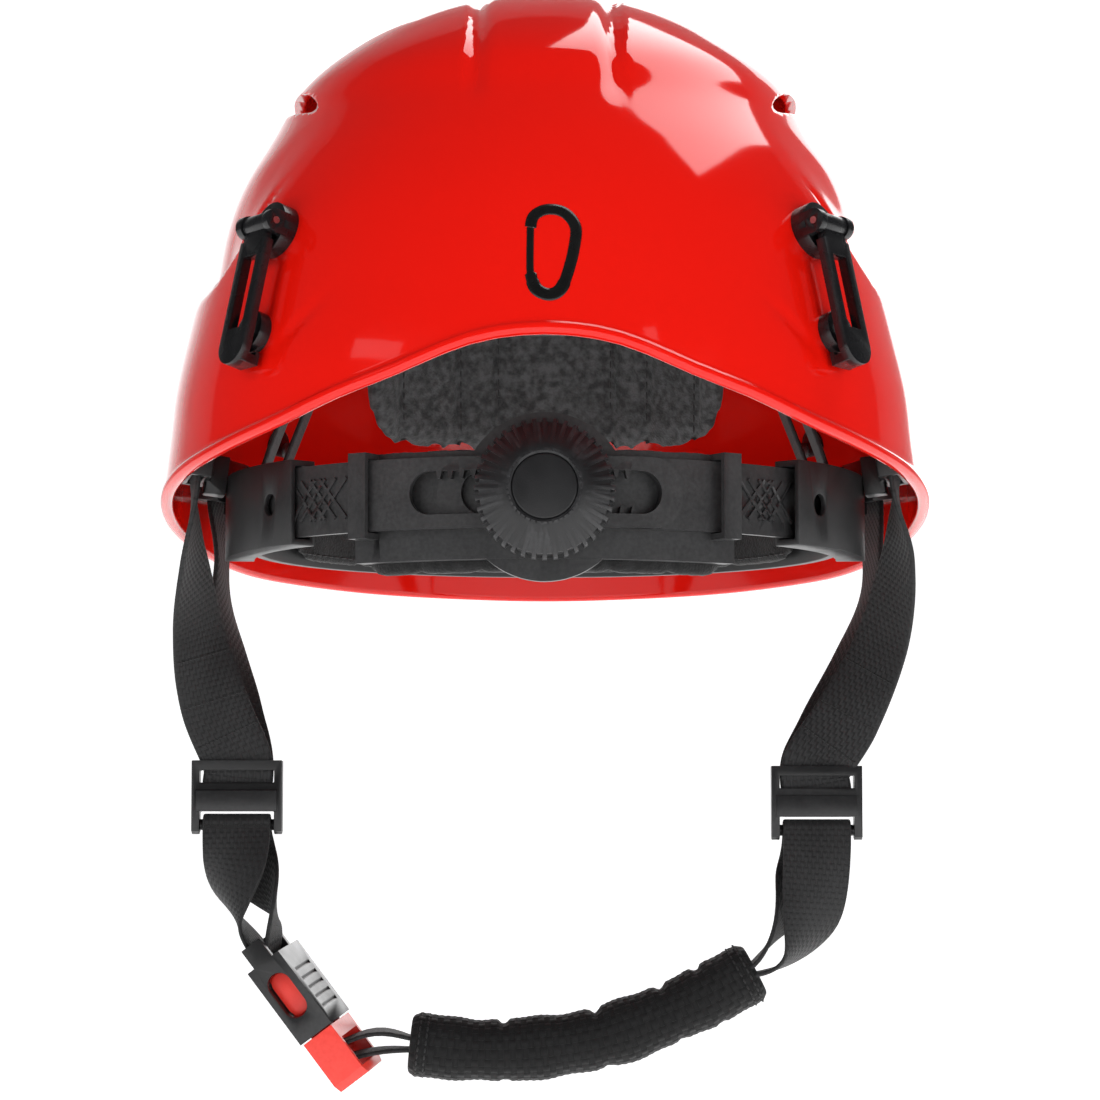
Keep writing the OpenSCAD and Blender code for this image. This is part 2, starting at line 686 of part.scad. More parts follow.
// A stadium prism across the buckle, on the window's middle.
module pad_shape(d, h) {
    for (z = [-3.6, 3.6])
        translate([0, z, 0])
            cylinder(d = d, h = h, center = true);
    cube([d, 7.2, h], center = true);
}

module buckle_female() {
    color("black")
        at_buckle()
            difference() {
                union() {
                    translate([-5.6, -12.5, 4.9])
                        cube([11.2, 25, 25.2]);
                    for (s = [-1, 1])
                        translate([-3.2, s * 11.35 - 1.15, -1.2])
                            cube([6.4, 2.3, 7]);
                    translate([0, -12, female_bar])
                        rotate([-90, 0, 0])
                            cylinder(r = pin_r, h = 24);
                }
                translate([-3.4, -9.8, 7])
                    cube([6.8, 19.6, 30]);
                for (s = [-1, 1])
                    translate([0, s * 12, 16.5])
                        rotate([90, 0, 0])
                            pad_shape(7, 7);
                for (s = [-1, 1])
                    for (k = [0:4])
                        translate([s * 5.6, 0, 12 + 3.2 * k])
                            rotate([0, 45, 0])
                                cube([0.9, 18, 0.9], center = true);
            }
}

module buckle_male() {
    color("red")
        at_buckle() {
            difference() {
                translate([-5, -12, 30.5])
                    cube([10, 24, 17]);
                translate([-7, -10.2, 35])
                    cube([14, 20.4, 9.8]);
                for (s = [-1, 1])
                    translate([0, s * 12, 47.5])
                        rotate([45, 0, 0])
                            cube([12, 3.4, 3.4], center = true);
            }
            translate([0, -11, male_bar])
                rotate([-90, 0, 0])
                    cylinder(r = pin_r, h = 22);
            translate([-2, -2.2, 9])
                cube([4, 4.4, 22]);
            for (s = [-1, 1])
                translate([0, s * 7.6, 0]) {
                    translate([-2.8, -1.2, 9.5])
                        cube([5.6, 2.4, 21.5]);
                    translate([0, s * 0.9, 16.5])
                        rotate([90, 0, 0])
                            pad_shape(6, 2);
                }
        }
}

// A webbing loop round one bar and down to another, turning a quarter turn on the way.
loop_t = 1.2;
loop_r = 0.35 + loop_t / 2;
function along(a, b, f) = a + (b - a) * f;
module lower_loop(c0, c1, r0, r1, w1, t1, side, bulge, close) {
    t0 = [0, 0, -1];
    n0 = [0, 1, 0];
    s1 = unit(cross(w1, t1)) * side;
    reach = norm(c1 - c0);
    function mid(f) = c0 * (2 * f * f * f - 3 * f * f + 1) + t0 * reach * (f * f * f - 2 * f * f + f)
        + c1 * (3 * f * f - 2 * f * f * f) + t1 * reach * (f * f * f - f * f);
    function half(f) = along(r0, r1, f) + bulge * sin(180 * f);
    function turn(f) = unit((1 - sm(f)) * n0 + sm(f) * s1);
    function wide(f) = unit(cross(mid(f + 0.01) - mid(f - 0.01), turn(f)));
    top = [for (k = [0:8]) let (a = -90 + 180 * k / 8) c0 + r0 * (sin(a) * n0 - cos(a) * t0)];
    down = [for (k = [1:9]) mid(k / 10) + half(k / 10) * turn(k / 10)];
    up = [for (k = [9:-1:1]) mid(k / 10) - half(k / 10) * turn(k / 10)];
    under = [for (k = [0:8]) let (a = 90 - 180 * k / 8) c1 + r1 * (sin(a) * s1 + cos(a) * t1)];
    w_dn = [for (k = [1:9]) wide(k / 10)];
    w_up = [for (k = [9:-1:1]) wide(k / 10)];
    w_top = [for (k = [0:8]) cross(t0, n0)];
    w_und = [for (k = [0:8]) cross(t1, s1)];
    if (close)
        ring(concat(top, down, under, up), concat(w_top, w_dn, w_und, w_up), web_w - 0.6, loop_t);
    else
        ribbon(concat([c1 - half(1) * s1], up, top, down, [c1 + half(1) * s1]),
            concat([w_und[0]], w_up, w_top, w_dn, [w_und[0]]), web_w - 0.6, loop_t);
}

// A closed ribbon.
module ring(p, w, width, t) {
    n = len(p);
    pts = [for (i = [0:n - 1]) each let (d = unit(p[(i + 1) % n] - p[(i + n - 1) % n]),
        f = unit(w[i] - d * (w[i] * d)),
        a = f * width / 2, b = cross(d, f) * t / 2) [p[i] - a - b, p[i] + a - b, p[i] + a + b, p[i] - a + b]];
    faces = [for (i = [0:n - 1]) for (k = [0:3]) each let (a = 4 * i + k, b = 4 * i + (k + 1) % 4,
        c = (4 * i + 4 + k) % (4 * n), d = (4 * i + 4 + (k + 1) % 4) % (4 * n)) [[a, b, d], [a, d, c]]];
    polyhedron(points = pts, faces = faces, convexity = 8);
}

female_c = bk + bk_z * female_bar;
fall = unit(female_c - div_l - [0, 0, bar_z]);
module lower_strap_left() {
    color("black")
        lower_loop(div_l + [0, 0, bar_z], female_c, bar_r + loop_r, pin_r + loop_r, bk_y,
            unit(fall - bk_y * (fall * bk_y)), -1, 4.4, true);
}

module lower_strap_right() {
    color("black")
        lower_loop(div_r + [0, 0, bar_z], pad_end, bar_r + loop_r, 1.5, [0, 1, 0],
            -unit([18, 0, 9.4]), 1, 4, false);
}

// Chin sleeve stations, from the buckle to the right divider.
pad_c = [[-38.5, 0, -152.6], [-20, 0, -154.4], [0, 0, -153.6], [20, 0, -149.8], [42, 0, -141], [60, 0, -131.6]];
pad_end = [60, 0, -131.6] + 0.2 * [18, 0, 9.4] / 20.3;

module tube(L, per, ry, rz, ns) {
    p = curve(L, per);
    n = len(p);
    function taper(i) = i == 0 || i == n - 1 ? 0.86 : 1;
    pts = [for (i = [0:n - 1]) let (t = tan_at(p, i), u = unit(cross([0, 1, 0], t))) for (k = [0:ns - 1])
        p[i] + taper(i) * (ry * cos(360 * k / ns) * [0, 1, 0] + rz * sin(360 * k / ns) * u)];
    sides = [for (i = [0:n - 2]) for (k = [0:ns - 1]) each let (a = ns * i + k, b = ns * i + (k + 1) % ns)
        [[a, b + ns, b], [a, a + ns, b + ns]]];
    c = len(pts);
    ends = [for (k = [0:ns - 1]) each [[k, (k + 1) % ns, c], [c - ns + k, c + 1, c - ns + (k + 1) % ns]]];
    polyhedron(points = concat(pts, [p[0], p[n - 1]]), faces = concat(sides, ends), convexity = 6);
}

module chin_pad() {
    color("black")
        tube(pad_c, 5, chin_pad_r + 1.8, chin_pad_r, 20);
}

// Width of the webbing between the buckle and the chin sleeve.
strand_w = 16;
module chin_strands() {
    c = bk + bk_z * male_bar;
    e = pad_c[0] + [-0.3, 0, 0];
    d = unit(e - c - bk_y * ((e - c) * bk_y));
    n = unit(cross(d, bk_y));
    r = pin_r + loop_r;
    bend = [for (k = [0:8]) let (a = 90 + 22.5 * k) c + r * (cos(a) * d + sin(a) * n)];
    up = e + [0, 0, 1.7];
    low = e - [0, 0, 1.7];
    first = n[2] > 0 ? up : low;
    last = n[2] > 0 ? low : up;
    color("black")
        ribbon(concat([first, along(first, bend[0], 0.35), along(first, bend[0], 0.7)], bend,
            [along(last, bend[8], 0.7), along(last, bend[8], 0.35), last]),
            concat([[0, 1, 0], unit([0, 1, 0] + bk_y), bk_y], [for (k = [0:8]) bk_y],
                [bk_y, unit([0, 1, 0] + bk_y), [0, 1, 0]]),
            strand_w, loop_t);
}

shell();
clip_mount_rear_left();
clip_mount_rear_right();
clip_mount_front_left();
clip_mount_front_right();
clip_pin_rear_left();
clip_pin_rear_right();
clip_pin_front_left();
clip_pin_front_right();
clip_arm_rear_left();
clip_arm_rear_right();
clip_arm_front_left();
clip_arm_front_right();
front_band();
brow_pad();
side_sleeve_left();
side_sleeve_right();
rack_strip_left();
rack_strip_right();
dial_housing();
dial_axle();
dial_pinion();
dial_knob();
dial_cap();
nape_pad();
crown_pad();
cradle_front();
cradle_rear();
hanger_front_left();
hanger_front_right();
hanger_rear_left();
hanger_rear_right();
strap_rear_left();
strap_rear_right();
strap_front_left();
strap_front_right();
divider_left();
divider_right();
lower_strap_left();
lower_strap_right();
buckle_female();
buckle_male();
chin_strands();
chin_pad();
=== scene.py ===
"""Detailed climbing helmet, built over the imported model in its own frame.

Every length is in metres unless a name says mm. +Z is up and +Y is the wearer's front.
"""

import json
import logging
import math
from dataclasses import dataclass
from enum import Enum

import bmesh
import bpy
import numpy as np
from mathutils import Matrix, Vector
from mathutils.bvhtree import BVHTree

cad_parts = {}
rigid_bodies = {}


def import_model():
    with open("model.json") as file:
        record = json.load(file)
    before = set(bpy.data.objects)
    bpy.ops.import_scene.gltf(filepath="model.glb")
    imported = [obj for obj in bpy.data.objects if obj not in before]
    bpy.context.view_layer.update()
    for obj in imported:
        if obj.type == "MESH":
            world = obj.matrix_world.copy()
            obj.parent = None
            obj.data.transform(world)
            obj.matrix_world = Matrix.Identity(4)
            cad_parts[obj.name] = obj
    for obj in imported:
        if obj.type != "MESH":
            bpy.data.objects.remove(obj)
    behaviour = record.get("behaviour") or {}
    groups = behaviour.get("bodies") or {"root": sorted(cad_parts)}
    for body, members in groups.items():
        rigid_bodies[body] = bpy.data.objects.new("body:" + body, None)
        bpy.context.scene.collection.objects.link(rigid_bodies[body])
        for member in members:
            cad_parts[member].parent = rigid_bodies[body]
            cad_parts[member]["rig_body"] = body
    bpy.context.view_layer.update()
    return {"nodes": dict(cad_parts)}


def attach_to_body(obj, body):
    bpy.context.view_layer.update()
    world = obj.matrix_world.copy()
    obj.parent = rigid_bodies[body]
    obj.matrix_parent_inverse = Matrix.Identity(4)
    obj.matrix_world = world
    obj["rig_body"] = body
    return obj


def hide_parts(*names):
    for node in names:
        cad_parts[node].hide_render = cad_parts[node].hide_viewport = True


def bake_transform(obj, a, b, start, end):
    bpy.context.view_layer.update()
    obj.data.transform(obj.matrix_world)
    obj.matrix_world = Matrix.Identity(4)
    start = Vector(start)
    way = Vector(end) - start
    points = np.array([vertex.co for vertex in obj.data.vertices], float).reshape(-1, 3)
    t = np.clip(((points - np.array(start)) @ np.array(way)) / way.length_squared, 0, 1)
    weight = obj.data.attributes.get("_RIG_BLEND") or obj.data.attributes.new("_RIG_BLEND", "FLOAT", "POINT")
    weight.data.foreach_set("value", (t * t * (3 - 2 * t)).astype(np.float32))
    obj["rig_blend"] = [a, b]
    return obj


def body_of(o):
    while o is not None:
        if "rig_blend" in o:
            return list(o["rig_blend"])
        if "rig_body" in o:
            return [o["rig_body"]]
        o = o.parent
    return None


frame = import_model()
LOG = logging.getLogger("helmet")
MM = 0.001


class Body(Enum):
    """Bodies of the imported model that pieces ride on."""

    HELMET = "helmet"
    CHIN = "chin_strap"
    INSERT = "buckle_insert"


class Side(Enum):
    """The wearer's sides, with the sign of X."""

    LEFT = -1
    RIGHT = 1


# ---------------------------------------------------------------- shader groups


def new_group(name: str, inputs: list, outputs: list) -> bpy.types.NodeTree:
    """Start a shader node group.

    Args:
        name: the group's name.
        inputs: (name, socket type, default) of each input.
        outputs: (name, socket type) of each output.

    Returns:
        The group, with its input and output nodes named "in" and "out".
    """
    tree = bpy.data.node_groups.new(name, "ShaderNodeTree")
    for label, kind, default in inputs:
        sock = tree.interface.new_socket(label, in_out="INPUT", socket_type=kind)
        if default is not None:
            sock.default_value = default
    for label, kind in outputs:
        tree.interface.new_socket(label, in_out="OUTPUT", socket_type=kind)
    tree.nodes.new("NodeGroupInput").name = "in"
    tree.nodes.new("NodeGroupOutput").name = "out"
    return tree


def math_node(tree: bpy.types.NodeTree, op: str, a: object, b: object = None,
        c: object = None) -> bpy.types.NodeSocket:
    """Add a Math node and return its output.

    Args:
        tree: the tree it goes in.
        op: the operation's identifier.
        a: a socket or a number.
        b: a socket or a number, where the operation has two.
        c: a socket or a number, where the operation has three.

    Returns:
        The result socket.
    """
    node = tree.nodes.new("ShaderNodeMath")
    node.operation = op
    for k, v in enumerate((a, b, c)):
        if v is None:
            continue
        if isinstance(v, (int, float)):
            node.inputs[k].default_value = v
        else:
            tree.links.new(v, node.inputs[k])
    return node.outputs[0]


def weave_group() -> bpy.types.NodeTree:
    """Plain weave on a UV map in metres: thread height and a painted shade, lighter on raised threads and
    darker in the gaps between them.
    """
    f = "NodeSocketFloat"
    tree = new_group(
        "weave", [("UV", "NodeSocketVector", None), ("Across per m", f, 900.0), ("Along per m", f, 700.0)],
        [("Height", f), ("Shade", f)],
    )
    g, out = tree.nodes["in"], tree.nodes["out"]
    sep = tree.nodes.new("ShaderNodeSeparateXYZ")
    tree.links.new(g.outputs["UV"], sep.inputs[0])
    u = math_node(tree, "MULTIPLY", sep.outputs[0], g.outputs["Across per m"])
    v = math_node(tree, "MULTIPLY", sep.outputs[1], g.outputs["Along per m"])
    su = math_node(tree, "ABSOLUTE", math_node(tree, "SINE", math_node(tree, "MULTIPLY", u, math.pi)))
    sv = math_node(tree, "ABSOLUTE", math_node(tree, "SINE", math_node(tree, "MULTIPLY", v, math.pi)))
    odd = math_node(tree, "PINGPONG",
        math_node(tree, "ADD", math_node(tree, "FLOOR", u), math_node(tree, "FLOOR", v)), 1.0)
    over = math_node(tree, "MULTIPLY", su, odd)
    under = math_node(tree, "MULTIPLY", sv, math_node(tree, "SUBTRACT", 1.0, odd))
    height = math_node(tree, "ADD", over, under)
    tree.links.new(height, out.inputs["Height"])
    # Painted shade: a colour factor that follows thread height, darker in the gaps between threads.
    painted_gap_shade = math_node(tree, "MULTIPLY_ADD", height, 0.5, 0.6)
    tree.links.new(painted_gap_shade, out.inputs["Shade"])
    return tree


def cloud_group() -> bpy.types.NodeTree:
    """Noise at two scales on Object coordinates: a fine grain and slow patches, both about 0 to 1."""
    f = "NodeSocketFloat"
    tree = new_group("cloud", [("Fine per m", f, 3000.0), ("Broad per m", f, 40.0)],
        [("Fine", f), ("Broad", f)])
    g, out = tree.nodes["in"], tree.nodes["out"]
    co = tree.nodes.new("ShaderNodeTexCoord")
    for socket, name, detail in (("Fine per m", "Fine", 3.0), ("Broad per m", "Broad", 2.0)):
        noise = tree.nodes.new("ShaderNodeTexNoise")
        noise.inputs["Detail"].default_value = detail
        tree.links.new(co.outputs["Object"], noise.inputs["Vector"])
        tree.links.new(g.outputs[socket], noise.inputs["Scale"])
        tree.links.new(noise.outputs[0], out.inputs[name])
    return tree


def worn_group() -> bpy.types.NodeTree:
    """Edge wear: 1 on worn outer edges, broken up by noise."""
    f = "NodeSocketFloat"
    tree = new_group("worn", [("Start", f, 0.52), ("End", f, 0.6)], [("Mask", f)])
    g, out = tree.nodes["in"], tree.nodes["out"]
    geo = tree.nodes.new("ShaderNodeNewGeometry")
    co = tree.nodes.new("ShaderNodeTexCoord")
    noise = tree.nodes.new("ShaderNodeTexNoise")
    noise.inputs["Scale"].default_value = 900.0
    tree.links.new(co.outputs["Object"], noise.inputs["Vector"])
    rng = tree.nodes.new("ShaderNodeMapRange")
    tree.links.new(geo.outputs["Pointiness"], rng.inputs["Value"])
    tree.links.new(g.outputs["Start"], rng.inputs["From Min"])
    tree.links.new(g.outputs["End"], rng.inputs["From Max"])
    tree.links.new(math_node(tree, "MULTIPLY", rng.outputs[0], noise.outputs[0]), out.inputs["Mask"])
    return tree


GROUPS: dict = {}


def group(name: str) -> bpy.types.NodeTree:
    """The shared group of this name, built the first time it is asked for."""
    if name not in GROUPS:
        GROUPS[name] = {"weave": weave_group, "cloud": cloud_group, "worn": worn_group}[name]()
    return GROUPS[name]


@dataclass(frozen=True)
class Finish:
    """A base for finishes: a Principled material with a colour ramped between two shades.

    Attributes:
        name: the material's name.
        low: the darker colour.
        high: the lighter colour.
        rough: the mean roughness.
        bump_mm: height of the surface relief in mm.
    """

    name: str
    low: tuple
    high: tuple
    rough: float = 0.5
    bump_mm: float = 0.05

    def start(self) -> tuple:
        """Make the material.

        Returns:
            The material, its tree and its Principled node.
        """
        mat = bpy.data.materials.new(self.name)
        mat.use_nodes = True
        tree = mat.node_tree
        return mat, tree, tree.nodes["Principled BSDF"]

    def blend(self, tree: bpy.types.NodeTree, factor: bpy.types.NodeSocket) -> bpy.types.NodeSocket:
        """Mix the two shades by a factor and return the colour."""
        mix = tree.nodes.new("ShaderNodeMix")
        mix.data_type = "RGBA"
        mix.inputs[6].default_value = (*self.low, 1)
        mix.inputs[7].default_value = (*self.high, 1)
        tree.links.new(factor, mix.inputs[0])
        return mix.outputs[2]

    def relief(self, tree: bpy.types.NodeTree, bsdf: bpy.types.Node, height: bpy.types.NodeSocket) -> None:
        """Feed a height of 0 to 1 to the surface as a bump.

        Args:
            tree: the material's tree.
            bsdf: its Principled node.
            height: the height socket.
        """
        bump = tree.nodes.new("ShaderNodeBump")
        bump.inputs["Distance"].default_value = self.bump_mm * MM
        bump.inputs["Strength"].default_value = 1.0
        tree.links.new(height, bump.inputs["Height"])
        tree.links.new(bump.outputs[0], bsdf.inputs["Normal"])

    def place(self, tree: bpy.types.NodeTree, name: str, **values: float) -> bpy.types.Node:
        """Place a shared group and set its inputs.

        Args:
            tree: the material's tree.
            name: the group's name.
            values: input names, with _ for a space, and their values.

        Returns:
            The group node.
        """
        node = tree.nodes.new("ShaderNodeGroup")
        node.node_tree = group(name)
        for key, value in values.items():
            node.inputs[key.replace("_", " ")].default_value = value
        return node


@dataclass(frozen=True)
class ShellPlastic(Finish):
    """Glossy coloured shell plastic with a clear skin."""

    def build(self) -> bpy.types.Material:
        """Make the material."""
        mat, tree, bsdf = self.start()
        cloud = self.place(tree, "cloud", Fine_per_m=160.0, Broad_per_m=9.0)
        tree.links.new(self.blend(tree, cloud.outputs["Broad"]), bsdf.inputs["Base Color"])
        bsdf.inputs["Roughness"].default_value = self.rough
        bsdf.inputs["Coat Weight"].default_value = 0.12
        bsdf.inputs["Coat Roughness"].default_value = 0.03
        bsdf.inputs["IOR"].default_value = 1.44
        self.relief(tree, bsdf, cloud.outputs["Fine"])
        return mat


@dataclass(frozen=True)
class MouldedPlastic(Finish):
    """Moulded black or coloured plastic with a fine spark grain and rubbed edges."""

    def build(self) -> bpy.types.Material:
        """Make the material."""
        mat, tree, bsdf = self.start()
        cloud = self.place(tree, "cloud", Fine_per_m=2600.0, Broad_per_m=120.0)
        worn = self.place(tree, "worn")
        tone = math_node(tree, "MULTIPLY_ADD", worn.outputs["Mask"], 0.9,
            math_node(tree, "MULTIPLY", cloud.outputs["Broad"], 0.35))
        tree.links.new(self.blend(tree, tone), bsdf.inputs["Base Color"])
        rough = math_node(tree, "MULTIPLY_ADD", cloud.outputs["Broad"], 0.16, self.rough - 0.08)
        tree.links.new(rough, bsdf.inputs["Roughness"])
        self.relief(tree, bsdf, cloud.outputs["Fine"])
        return mat


@dataclass(frozen=True)
class PinMetal(Finish):
    """Drawn steel pin."""

    def build(self) -> bpy.types.Material:
        """Make the material."""
        mat, tree, bsdf = self.start()
        cloud = self.place(tree, "cloud", Fine_per_m=5200.0, Broad_per_m=300.0)
        tree.links.new(self.blend(tree, cloud.outputs["Broad"]), bsdf.inputs["Base Color"])
        bsdf.inputs["Metallic"].default_value = 1.0
        bsdf.inputs["Roughness"].default_value = self.rough
        self.relief(tree, bsdf, cloud.outputs["Fine"])
        return mat


@dataclass(frozen=True)
class Webbing(Finish):
    """Woven strap or ribbed sleeve on a UV map in metres, with painted shade in the gaps of the weave.

    Attributes:
        across: threads per metre across the piece.
        along: threads per metre along it.
    """

    across: float = 900.0
    along: float = 750.0

    def build(self) -> bpy.types.Material:
        """Make the material."""
        mat, tree, bsdf = self.start()
        uv = tree.nodes.new("ShaderNodeUVMap")
        weave = self.place(tree, "weave", Across_per_m=self.across, Along_per_m=self.along)
        tree.links.new(uv.outputs[0], weave.inputs["UV"])
        cloud = self.place(tree, "cloud", Fine_per_m=1800.0, Broad_per_m=70.0)
        # The colour is the weave's painted shade, darker in the gaps between threads, times a random tone.
        tone = math_node(tree, "MULTIPLY", weave.outputs["Shade"],
            math_node(tree, "MULTIPLY_ADD", cloud.outputs["Broad"], 0.7, 0.35))
        tree.links.new(self.blend(tree, tone), bsdf.inputs["Base Color"])
        bsdf.inputs["Roughness"].default_value = self.rough
        bsdf.inputs["Sheen Weight"].default_value = 0.08
        bsdf.inputs["Sheen Roughness"].default_value = 0.4
        fuzz = math_node(tree, "MULTIPLY_ADD", cloud.outputs["Fine"], 0.3, weave.outputs["Height"])
        self.relief(tree, bsdf, fuzz)
        return mat


@dataclass(frozen=True)
class BrushedKnit(Finish):
    """Soft brushed pad cloth with a mottled tone.

    Attributes:
        mottle: mottles per metre.
    """

    mottle: float = 260.0

    def build(self) -> bpy.types.Material:
        """Make the material."""
        mat, tree, bsdf = self.start()
        cloud = self.place(tree, "cloud", Fine_per_m=1500.0, Broad_per_m=self.mottle)
        ramp = tree.nodes.new("ShaderNodeMapRange")
        ramp.inputs["From Min"].default_value = 0.36
        ramp.inputs["From Max"].default_value = 0.66
        tree.links.new(cloud.outputs["Broad"], ramp.inputs["Value"])
        tone = math_node(tree, "MULTIPLY_ADD", ramp.outputs[0], 0.7,
            math_node(tree, "MULTIPLY", cloud.outputs["Fine"], 0.3))
        tree.links.new(self.blend(tree, tone), bsdf.inputs["Base Color"])
        bsdf.inputs["Roughness"].default_value = self.rough
        bsdf.inputs["Sheen Weight"].default_value = 0.15
        bsdf.inputs["Sheen Roughness"].default_value = 0.5
        self.relief(tree, bsdf, cloud.outputs["Fine"])
        return mat


@dataclass(frozen=True)
class Stage(Finish):
    """Pale plain studio floor."""

    def build(self) -> bpy.types.Material:
        """Make the material."""
        mat, tree, bsdf = self.start()
        cloud = self.place(tree, "cloud", Fine_per_m=30.0, Broad_per_m=2.0)
        tree.links.new(self.blend(tree, cloud.outputs["Broad"]), bsdf.inputs["Base Color"])
        bsdf.inputs["Roughness"].default_value = self.rough
        place = tree.nodes.new("ShaderNodeTexCoord")
        axes = tree.nodes.new("ShaderNodeSeparateXYZ")
        tree.links.new(place.outputs["Object"], axes.inputs[0])
        glow = []
        for value, full, gone in ((math_node(tree, "ABSOLUTE", axes.outputs["X"]), 0.75, 2.3),
            (axes.outputs["Z"], 0.85, 2.6)):
            fade = tree.nodes.new("ShaderNodeMapRange")
            fade.interpolation_type = "SMOOTHSTEP"
            fade.inputs["From Min"].default_value = gone
            fade.inputs["From Max"].default_value = full
            tree.links.new(value, fade.inputs["Value"])
            glow.append(fade.outputs[0])
        ground = math_node(tree, "LESS_THAN", axes.outputs["Z"], -0.31)
        lit = math_node(tree, "MAXIMUM", math_node(tree, "MULTIPLY", *glow), ground)
        tree.links.new(lit, bsdf.inputs["Emission Color"])
        bsdf.inputs["Emission Strength"].default_value = 0.72
        return mat


SHELL_RED = ShellPlastic("shell_red", (0.68, 0.0055, 0.0022), (0.76, 0.0075, 0.003), 0.07, 0.01)
CLIP_BLACK = MouldedPlastic("clip_black", (0.0025, 0.0025, 0.003), (0.022, 0.022, 0.024), 0.27, 0.02)
BAND_BLACK = MouldedPlastic("band_plastic", (0.006, 0.006, 0.0065), (0.038, 0.038, 0.039), 0.42, 0.03)
DIAL_BLACK = MouldedPlastic("dial_black", (0.004, 0.004, 0.0045), (0.032, 0.032, 0.034), 0.38, 0.03)
HARD_BLACK = MouldedPlastic("hardware_black", (0.003, 0.003, 0.0034), (0.026, 0.026, 0.027), 0.33, 0.02)
BUCKLE_RED = MouldedPlastic("buckle_red", (0.62, 0.010, 0.006), (0.95, 0.10, 0.07), 0.36, 0.02)
PIN_STEEL = PinMetal("pin_steel", (0.35, 0.35, 0.36), (0.6, 0.6, 0.62), 0.3, 0.01)
# WEB_BLACK, SLEEVE and THREAD are Webbing finishes, with painted shade in the gaps of their weave.
WEB_BLACK = Webbing("webbing_black", (0.0015, 0.0015, 0.0015), (0.021, 0.021, 0.022), 0.72, 0.16, 950.0,
    620.0)
SLEEVE = Webbing("sleeve_fabric", (0.0008, 0.0008, 0.0008), (0.009, 0.009, 0.0095), 0.88, 0.3, 420.0, 560.0)
CROWN = BrushedKnit("crown_fabric", (0.016, 0.0165, 0.017), (0.10, 0.102, 0.104), 0.92, 0.35, 420.0)
PAD = BrushedKnit("pad_fabric", (0.002, 0.002, 0.002), (0.013, 0.013, 0.0135), 0.92, 0.3, 500.0)
THREAD = Webbing("thread", (0.003, 0.003, 0.003), (0.035, 0.035, 0.036), 0.6, 0.05, 2500.0, 2500.0)
PRINT = MouldedPlastic("print_black", (0.004, 0.004, 0.004), (0.012, 0.012, 0.012), 0.28, 0.004)
FLOOR = Stage("floor", (0.86, 0.86, 0.86), (0.9, 0.9, 0.9), 0.6)

MADE: dict = {}


def material(finish: Finish) -> bpy.types.Material:
    """The material of a finish, made once."""
    if finish.name not in MADE:
        MADE[finish.name] = finish.build()
    return MADE[finish.name]


# ---------------------------------------------------------------- mesh helpers


def mesh_object(name: str, points: object, faces: list, finish: Finish, uv: object = None,
        fix: bool = True) -> bpy.types.Object:
    """Make a mesh object at the origin.

    Args:
        name: the piece's name.
        points: vertex places in metres.
        faces: vertex indices of each face.
        finish: its finish.
        uv: a (u, v) for each vertex, in metres, where a weave follows the piece.
        fix: whether the normals are recalculated outwards.

    Returns:
        The object.
    """
    mesh = bpy.data.meshes.new(name)
    mesh.from_pydata([tuple(p) for p in points], [], [tuple(f) for f in faces])
    if uv is not None:
        layer = mesh.uv_layers.new(name="UVMap")
        for loop in mesh.loops:
            layer.data[loop.index].uv = uv[loop.vertex_index]
    if fix:
        bm = bmesh.new()
        bm.from_mesh(mesh)
        bmesh.ops.recalc_face_normals(bm, faces=bm.faces)
        bm.to_mesh(mesh)
        bm.free()
    mesh.polygons.foreach_set("use_smooth", [True] * len(mesh.polygons))
    mesh.materials.append(material(finish))
    obj = bpy.data.objects.new(name, mesh)
    bpy.context.scene.collection.objects.link(obj)
    return obj


def bake(obj: bpy.types.Object) -> None:
    """Turn an object's modifiers into plain mesh."""
    bpy.context.view_layer.update()
    fresh = bpy.data.meshes.new_from_object(obj.evaluated_get(bpy.context.evaluated_depsgraph_get()))
    obj.modifiers.clear()
    old = obj.data
    obj.data = fresh
    bpy.data.meshes.remove(old)


def attach(obj: bpy.types.Object, body: Body, slot: str, *nodes: str) -> bpy.types.Object:
    """Ride a piece on a body and hide the CAD nodes that it stands for.

    Args:
        obj: the piece.
        body: the body's name or Body.
        slot: its material slot; not used.
        nodes: CAD nodes that it replaces.

    Returns:
        The piece.
    """
    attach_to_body(obj, body.value if isinstance(body, Body) else body)
    if nodes:
        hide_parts(*nodes)
    return obj


def spline(points: list, per: int) -> list:
    """Catmull-Rom points through stations.

    Args:
        points: the stations.
        per: points to each span.

    Returns:
        The run of points as Vectors.
    """
    p = [Vector(q) for q in points]
    out = []
    for i in range(len(p) - 1):
        a, b, c, d = p[max(i - 1, 0)], p[i], p[i + 1], p[min(i + 2, len(p) - 1)]
        for k in range(per):
            t = k / per
            out.append(b + 0.5 * t * ((c - a) + t
                * (2 * a - 5 * b + 4 * c - d + t * (3 * (b - c) + d - a))))
    out.append(p[-1])
    return out


